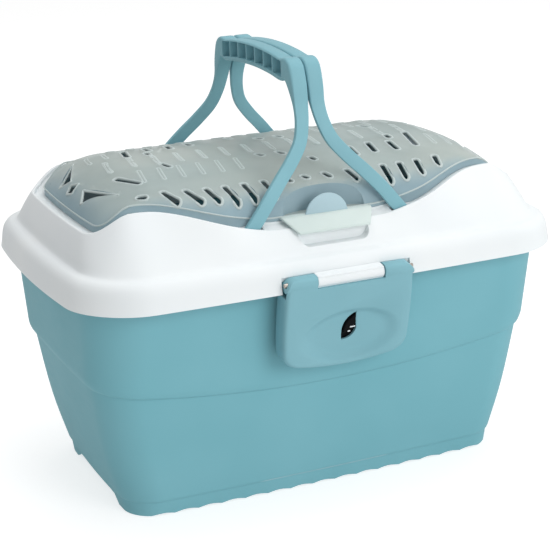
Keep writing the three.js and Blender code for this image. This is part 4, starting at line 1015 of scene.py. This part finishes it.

# %% [markdown]
# The rims of the slots, the ridges on the crown and the line along the door's crease are thin round beads
# that lie half sunk in the finished sheet. That is lighter than swelling the sheet itself, and it lets them
# have a paler finish of their own. That paler colour is a painted highlight, for the light that catches the
# rims, the ridges and the crease.

# %% The door's beads
crease = outline(door_plan)
crease_z = {(x, y): z for (x, y), z in zip(crease, band_z)}
# Painted highlights: each bead gets the paler frosted colour.
for trim in (bead_mesh("slot_rims", slots, 1.5, sink=0.8),
             bead_mesh("top_ridges", ridge_outlines(), 1.6, sink=1.1),
             bead_mesh("door_crease_painted_highlight", [crease], 0.8, sink=0.3, lift=lambda x, y: crease_z[(x, y)])):
    dress(finish(trim, smooth_angle=80), frost_pale_highlight, "top_door", "frosted_plastic")
bpy.data.objects.remove(door_form)

# %% [markdown]
# Each bail is one band: two flat legs that swing in towards each other and thicken into a grip. A ring of
# points with rounded corners is swept along a smooth curve through a few stations. The grip's outward
# face is hollowed into cells, with thin ribs left between them, which saves plastic on the real one.

# %% The bails
GRIP_HALF_LENGTH, GRIP_WIDTH, GRIP_HEIGHT, GRIP_ARCH = 76.0, 15.5, 21.0, 6.0
LEG_WIDTH = 12.5
BAIL_RISE = 141.0
GRIP_X = (GRIP_WIDTH + 0.4) / 2
CHANNEL_HALF, CELLS, CELL_RIB, CELL_DEPTH = 69.0, 7, 1.6, 10.0
leg_shares = [(1, 1, 0), (0.857, 0.996, 0.085), (0.686, 0.98, 0.191), (0.493, 0.94, 0.298),
              (0.286, 0.892, 0.404), (0.115, 0.84, 0.511), (0.036, 0.788, 0.617), (0.004, 0.74, 0.723),
              (0, 0.696, 0.83), (0, 0.65, 0.905), (0, 0.605, 0.945)]


def grip_z(y):
    return PIVOT_Z + BAIL_RISE - GRIP_HEIGHT / 4 - GRIP_ARCH * (y / GRIP_HALF_LENGTH) ** 2


def bail_stations():
    """Rows of x, y, z, width and depth, from the front foot over the grip to the rear foot."""
    rows = [(GRIP_X + (PIVOT_X - GRIP_X) * sx, -PIVOT_Y * sy, PIVOT_Z + BAIL_RISE * sz,
             LEG_WIDTH + (GRIP_WIDTH - LEG_WIDTH) * smooth(sz, 0.6, 0.9),
             LEG_WALL + (GRIP_HEIGHT - LEG_WALL) * smooth(sz, 0.7, 1)) for sx, sy, sz in leg_shares]
    rows += [(GRIP_X, -GRIP_HALF_LENGTH * s, grip_z(GRIP_HALF_LENGTH * s), GRIP_WIDTH, GRIP_HEIGHT)
             for s in (0.84, 0.6, 0.3, 0)]
    rows = np.array(rows)
    rear = rows[:-1][::-1] * (1, -1, 1, 1, 1)
    return np.vstack([rows, rear])


def through(rows, steps=6):
    """A smooth curve through the rows."""
    padded = np.vstack([rows[0] * 2 - rows[1], rows, rows[-1] * 2 - rows[-2]])
    made = []
    for i in range(1, len(padded) - 2):
        a, b, c, d = padded[i - 1:i + 3]
        for t in np.arange(steps) / steps:
            made.append(0.5 * (2 * b + (c - a) * t + (2 * a - 5 * b + 4 * c - d) * t ** 2
                               + (3 * b - a - 3 * c + d) * t ** 3))
    return np.array(made + [rows[-1]])


def round_section(wide, deep, radius, steps=4):
    points = []
    for k, (sx, sy) in enumerate(((1, -1), (1, 1), (-1, 1), (-1, -1))):
        for a in np.linspace((k - 1) * math.pi / 2, k * math.pi / 2, steps + 1):
            points.append((sx * (wide / 2 - radius) + radius * math.cos(a),
                           sy * (deep / 2 - radius) + radius * math.sin(a)))
    return points


def make_bail():
    curve = through(bail_stations())
    rings = []
    for i, (x, y, z, wide, deep) in enumerate(curve):
        run = curve[min(i + 1, len(curve) - 1), :3] - curve[max(i - 1, 0), :3]
        run = run / np.linalg.norm(run)
        falling = -1 if run[2] < 0 else 1
        lean = math.atan2(-run[0] * falling, max(abs(run[2]), abs(run[1])))
        across = np.array([math.cos(lean), 0, math.sin(lean)])
        outward = np.cross(run, across)
        section = round_section(wide - HAIR, deep - HAIR, 0.16 * min(wide, deep))
        rings.append(np.array([(x, y, z) + across * u + outward * v for u, v in section]))
    bail = skin("right_bail_band", rings)
    at = (PIVOT_X, PIVOT_Z)
    for side in (1, -1):
        low, high = sorted(side * (PIVOT_Y + half) for half in (0.1 - LEG_WALL / 2, LEG_WALL / 2 - 0.1))
        join(bail, rod(1, low, high, FOOT_RADIUS - 0.1, at))
        cut(bail, rod(1, low - 1, high + 1, BAIL_PIN_HOLE, at))
    pitch = (2 * CHANNEL_HALF + CELL_RIB) / CELLS
    outside = GRIP_X + GRIP_WIDTH / 2
    low, high = 4.5 - GRIP_HEIGHT / 2, GRIP_HEIGHT / 2 - 1.8
    corners = ((-CELL_DEPTH, low), (30, low), (30, high), (-CELL_DEPTH, high))
    for i in range(CELLS):
        start = -CHANNEL_HALF + i * pitch
        cell = [np.array([(outside + dx, y, grip_z(y) + dz) for dx, dz in corners])
                for y in (start, start + pitch - CELL_RIB)]
        cut(bail, skin("cell", cell))
    return finish(bail, bevel=0.45, bevel_angle=55)


right_bail = make_bail()
left_bail = flip(right_bail, x=-1)
left_bail.name = "left_bail_band"
for side, bail in (("right", right_bail), ("left", left_bail)):
    finish(bail)
    dress(bail, teal_light, f"{side}_bail", "teal_plastic", f"{side}_bail")

# %% [markdown]
# The latch is a hollow cap that hangs on a steel pin and leans against the tub. It is drawn in a frame of
# its own, whose origin is the pin's axis, and placed at the end, because its outline is far easier to
# write upright. Its front edge is a wide round, two ears hold the pin, and a soft dish guides the thumb to
# a pointed window with the slide.

# %% The latch plate
LATCH_SIDE, LATCH_DROP, LATCH_BOW, LATCH_CORNER, LATCH_DEPTH = 61.8, 80.5, 7.0, 14.0, 12.0
LATCH_WALL_TOP, LATCH_TOP, EAR_INNER, EAR_CORNER, BRIDGE_DROP = 12.0, 6.2, 33.0, 11.0, 4.8
LATCH_ROUND, LATCH_BULGE = 6.5, 1.8
DISH_HALF_WIDTH, DISH_HALF_HEIGHT, DISH_DEPTH, DISH_DROP, DISH_X = 50.0, 27.5, 5.5, 57.0, 3.0
WINDOW_HALF, WINDOW_TOP, WINDOW_LOW = 7.6, -36.5, -63.5
DISH_WALL = 2.4
KEEPER_FRONT, HOOK_BACK, HOOK_HALF = 4.9, 6.5, 42.0
SCREW_X, SCREW_DROP, BOSS_RADIUS, SCREW_HOLE = 15.6, 49.0, 3.2, 1.7
FRONT = 0.6 - LATCH_EAR_RADIUS


def curve_through(start, control, stop, steps=10):
    """A quadratic curve without its last point."""
    start, control, stop = np.array(start), np.array(control), np.array(stop)
    return [start * (1 - t) ** 2 + control * 2 * t * (1 - t) + stop * t ** 2
            for t in np.arange(steps) / steps]


def latch_outline(by=0.0, top=LATCH_TOP, corner=EAR_CORNER):
    """Upright sides, wide lower corners and a bowed lower edge, drawn in by a distance."""
    low, high = -LATCH_DROP + by, top - by
    wide, corner = LATCH_SIDE - by, max(corner - by, 0.5)
    reach = wide - LATCH_CORNER
    points = [np.array((x, low - LATCH_BOW * (1 - (x / wide) ** 2))) for x in reach * np.arange(8) / 8]
    edge = low - LATCH_BOW * (1 - (reach / wide) ** 2)
    points += curve_through((reach, edge), (wide - 0.5, low + 1), (wide, low + LATCH_CORNER), 12)
    points += curve_through((wide, low + LATCH_CORNER),
                            (wide + LATCH_BULGE, (low + LATCH_CORNER + high - corner) / 2),
                            (wide, high - corner - 0.1), 8)
    points += [np.array((wide - corner + corner * math.cos(a), high - corner + corner * math.sin(a)))
               for a in np.linspace(0, math.pi / 2, 9)]
    return np.array(points + [p * (-1, 1) for p in reversed(points[1:])])


def at_depth(outline_2d, y):
    return np.column_stack([outline_2d[:, 0], np.zeros(len(outline_2d)) + y, outline_2d[:, 1]])


def dish_tool(grow=0.0, steps=12):
    """A bowl whose slope fades out at its rim, filled towards the front."""
    rings = []
    for share in list(np.linspace(0.16, 1.0, steps)):
        depth = DISH_DEPTH * (1 - smooth(share, 0.72, 1.0)) + grow
        reach = np.array((DISH_HALF_WIDTH + grow, DISH_HALF_HEIGHT + grow)) * share
        rings.append(at_depth(circle((0, 0), 1.0, 72) * reach + (DISH_X, -DISH_DROP), FRONT + depth - 0.02))
    rings.append(rings[-1] - (0, 3 if grow else 20, 0))
    return skin("dish", rings)


def window_base():
    """The lower edge of the window, from its foot on the left to its right side."""
    return curve_through((DISH_X - WINDOW_HALF * 0.85, WINDOW_LOW),
                         (DISH_X + WINDOW_HALF * 0.6, WINDOW_LOW),
                         (DISH_X + WINDOW_HALF, WINDOW_LOW + 10), 8)


def window_outline():
    """A drop with its tip bent to the right, seen from the front."""
    low, high, half = WINDOW_LOW, WINDOW_TOP, WINDOW_HALF
    tip, foot = (DISH_X + half * 0.9, high), (DISH_X - half * 0.85, low)
    left = curve_through(tip, (DISH_X - half * 0.9, high - 5), (DISH_X - half * 0.95, low + 9), 9)
    left += curve_through((DISH_X - half * 0.95, low + 9), (DISH_X - half, low + 3), foot, 3)
    right = curve_through((DISH_X + half, low + 10), (DISH_X + half * 0.75, high - 6), tip, 8)
    return np.array(left + window_base() + right)


def make_latch():
    back = FRONT + WALL
    rings = rounded([(at_depth(latch_outline(LATCH_ROUND + 2), FRONT), 0),
                     (at_depth(latch_outline(), FRONT), LATCH_ROUND),
                     (at_depth(latch_outline(), LATCH_DEPTH), 0)], steps=6)
    plate = skin("latch_shell", rings)
    cut(plate, block((-70, back, -LATCH_WALL_TOP), (70, LATCH_DEPTH + 1, 20)))
    cut(plate, skin("hollow", [at_depth(latch_outline(WALL, 0, 2), y) for y in (back, LATCH_DEPTH + 1)]))
    cut(plate, block((-HOOK_HALF - 0.5, HOOK_BACK, -90), (HOOK_HALF + 0.5, 14, -LATCH_DROP + WALL + 0.5)))
    whole = skin("form", [at_depth(latch_outline(), y) for y in (-9, 9)])
    ears = trimmed(both_ends(lambda: rod(0, EAR_INNER, LATCH_HALF_WIDTH, LATCH_EAR_RADIUS - 0.1, (0, 0), 48)),
                   whole)
    within = skin("form", [at_depth(latch_outline(1.5), y) for y in (FRONT + 1.5, LATCH_DEPTH)])
    lining = trimmed([dish_tool(DISH_WALL)], within)
    bpy.data.objects.remove(whole)
    bpy.data.objects.remove(within)
    join(plate, *ears, *lining)
    cut(plate, block((-EAR_INNER, -10, -BRIDGE_DROP), (EAR_INNER, 14, 20)), dish_tool(),
        prism(window_outline(), 1, -20, 3))
    at = (SCREW_X, -SCREW_DROP)
    join(plate, *both_ends(lambda: rod(1, FRONT + DISH_DEPTH + 0.6, KEEPER_FRONT - HAIR, BOSS_RADIUS, at)),
         block((-HOOK_HALF, HOOK_BACK - WALL, -LATCH_DROP + 1.5), (HOOK_HALF, HOOK_BACK, -71)))
    cut(plate, *both_ends(lambda: rod(1, 0.6, 14, SCREW_HOLE, at)), rod(0, -140, 140, PIN_HOLE, (0, 0)))
    finish(plate, bevel=0.6, bevel_angle=50)
    return turned([plate], latch_place)[0]


latch = make_latch()
dress(latch, teal_light, "latch", "teal_plastic", "latch_plate")
latch_rod = rod(0, -LATCH_SIDE - 0.8, LATCH_SIDE + 0.8, 2, (0, 0))
turned([latch_rod], latch_place)
latch_rod.name = "latch_rod"
dress(finish(latch_rod, bevel=0.4), steel, "lid", "pin_steel", "latch_pin")

# %% [markdown]
# The lock is a black slide behind the window: a flat tray, a thumb pad carrying two fine white rods as
# painted highlights, and an arm whose finger drops behind the catch on the tub. The pad takes the window's
# own shape, but its lower edge is higher by the slide's travel, so the pad never runs into the window's edge.

# %% The lock slide
SLIDE_FRONT, SLIDE_BACK, SLIDE_HALF, SLIDE_TOP, SLIDE_LOW = 1.6, 4.6, 11.8, -29.0, -63.5
PAD_RISE, SLIDE_TRAVEL = 4.4, 7.0
ARM_HALF, ARM_BACK = 3.0, 11.8


def pad_outline(by):
    """The window's own shape, with its lower edge raised by the travel of the slide."""
    drop = window_outline()
    middle = drop.mean(axis=0)
    shaped = middle + (drop - middle) * (1 - (by + 0.9) / WINDOW_HALF)
    base = np.array(window_base())
    lowest = np.interp(shaped[:, 0], base[:, 0], base[:, 1]) + SLIDE_TRAVEL + 1.0
    shaped[:, 1] += np.maximum(lowest - shaped[:, 1], 0) * 0.96
    return shaped


def make_slide():
    front = SLIDE_FRONT - PAD_RISE
    pad = rounded([(at_depth(pad_outline(2.2), front), 0), (at_depth(pad_outline(0.6), front), 1.2),
                   (at_depth(pad_outline(0), SLIDE_BACK), 0)])
    slide = block((-SLIDE_HALF, SLIDE_FRONT, SLIDE_LOW), (SLIDE_HALF, SLIDE_BACK, SLIDE_TOP))
    slide.name = "slide_black"
    arm = block((-ARM_HALF, SLIDE_FRONT, -49), (ARM_HALF, ARM_BACK, -46))
    finger = block((-ARM_HALF, 9.4, -56), (ARM_HALF, ARM_BACK, -46))
    join(slide, skin("pad", pad), arm, finger)
    finish(slide, bevel=0.25, bevel_angle=50)
    # Painted highlights: two thin white rods on the pad stand for glints of light on it.
    highlight_rods = together([rod(0, left, right, 0.6, (front - 0.1, z), 12)
                      for left, right, z in ((3.0, 8.0, -50.5), (1.0, 3.4, -54.5))])
    highlight_rods.name = "slide_painted_highlights"
    return turned([slide, highlight_rods], latch_place)


slide, slide_painted_highlights = make_slide()
dress(slide, black, "lock", "black_plastic", "lock_slide")
# The white rods are painted highlights on the black pad.
dress(finish(slide_painted_highlights), white, "lock", "white_plastic")

# %% [markdown]
# The other nodes have their final shape already in the frame: the pins, the screws, the keeper plate, and
# the catch and rib on the tub. They only get the right finish, through their material slots.

# %% Finishes of the frame's own pieces
steel_names = [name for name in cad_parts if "pin" in name or "screw" in name]
for name in steel_names:
    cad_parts[name].material_slots[0].material = steel
for name in ("latch_catch", "latch_rib", "slide_keeper"):
    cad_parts[name].material_slots[0].material = teal
print("steel pieces:", len(steel_names))

# %% [markdown]
# The studio is plain: a pale floor, a bright soft world and two large soft lights. The floor and the sky
# show white, but they light the object less, so that it keeps its shading: a Light Path node tells what is
# seen directly from what only gives light. The sky is dimmer on the left, where the photograph's shade is.
# The camera stands slightly above the object and to the left of its front. Its distance and its focal
# length were worked out together from the object's known outline.

# %% Floor, lights and camera
CAMERA_TURN, CAMERA_RISE, CAMERA_ROLL = math.radians(-23.46), math.radians(17.39), math.radians(-1.9)
CAMERA_TARGET = Vector((2.2, 0.0, 176.2)) * MM
CAMERA_DISTANCE = 1543.1 * MM
LENS, SENSOR_WIDTH = 103.5, 36
FLOOR_HALF = 9000
SKY_LIGHT = 0.36, 0.72
FLOOR_LIGHT = 0.34, 0.68


def place_camera():
    level = math.cos(CAMERA_RISE)
    back = Vector((math.sin(CAMERA_TURN) * level, -math.cos(CAMERA_TURN) * level, math.sin(CAMERA_RISE)))
    right = (-back).cross(Vector((0, 0, 1))).normalized()
    up = right.cross(-back)
    right, up = (right * math.cos(CAMERA_ROLL) + up * math.sin(CAMERA_ROLL),
                 up * math.cos(CAMERA_ROLL) - right * math.sin(CAMERA_ROLL))
    camera = bpy.data.objects.new("camera", bpy.data.cameras.new("camera"))
    camera.data.lens = LENS
    camera.data.sensor_width = SENSOR_WIDTH
    turn = Matrix((right, up, back)).transposed().to_4x4()
    camera.matrix_world = Matrix.Translation(CAMERA_TARGET + back * CAMERA_DISTANCE) @ turn
    bpy.context.scene.collection.objects.link(camera)
    bpy.context.scene.camera = camera


def soft_light(name, place, size, power):
    light = bpy.data.objects.new(name, bpy.data.lights.new(name, "AREA"))
    light.data.size = size
    light.data.energy = power
    light.location = place
    light.rotation_euler = (Vector((0, 0, 0.15)) - Vector(place)).to_track_quat("-Z", "Y").to_euler()
    bpy.context.scene.collection.objects.link(light)


def pale_floor():
    corners = [(x * FLOOR_HALF, y * FLOOR_HALF, 0) for x, y in ((-1, -1), (1, -1), (1, 1), (-1, 1))]
    floor = mesh_object("floor", corners, [(0, 1, 2, 3)])
    look = Material("pale_floor")
    speckle = look.noise(400.0)
    given, seen = [(level, level, level, 1) for level in FLOOR_LIGHT]
    glow = look.mix(look.node("ShaderNodeLightPath"), given, seen)
    floor.data.materials.append(look.shade({
        "Base Color": look.mix(speckle, (0.5, 0.5, 0.5, 1), (0.54, 0.54, 0.54, 1)), "Roughness": 0.9,
        "Specular IOR Level": 0.0, "Emission Color": glow, "Emission Strength": 1.0}))


def soft_sky():
    world = bpy.data.worlds.new("studio")
    bpy.context.scene.world = world
    world.use_nodes = True
    nodes, link = world.node_tree.nodes, world.node_tree.links.new
    place, parts = nodes.new("ShaderNodeTexCoord"), nodes.new("ShaderNodeSeparateXYZ")
    sideways, strength = nodes.new("ShaderNodeMapRange"), nodes.new("ShaderNodeMapRange")
    sideways.inputs["From Min"].default_value = -1.0
    sideways.inputs["To Min"].default_value, sideways.inputs["To Max"].default_value = SKY_LIGHT
    strength.inputs["To Max"].default_value = 1.0
    link(place.outputs["Generated"], parts.inputs[0])
    link(parts.outputs["X"], sideways.inputs["Value"])
    link(sideways.outputs[0], strength.inputs["To Min"])
    link(nodes.new("ShaderNodeLightPath").outputs["Is Camera Ray"], strength.inputs["Value"])
    nodes["Background"].inputs[0].default_value = (1, 1, 1, 1)
    link(strength.outputs[0], nodes["Background"].inputs[1])


place_camera()
soft_sky()
pale_floor()
soft_light("key", (0.8, -2.4, 1.2), 1.4, 25)
soft_light("top", (0.2, 0.2, 2.4), 2.0, 24)
bpy.context.scene.view_settings.view_transform = "Standard"
print("camera at", [round(v, 3) for v in bpy.context.scene.camera.location])
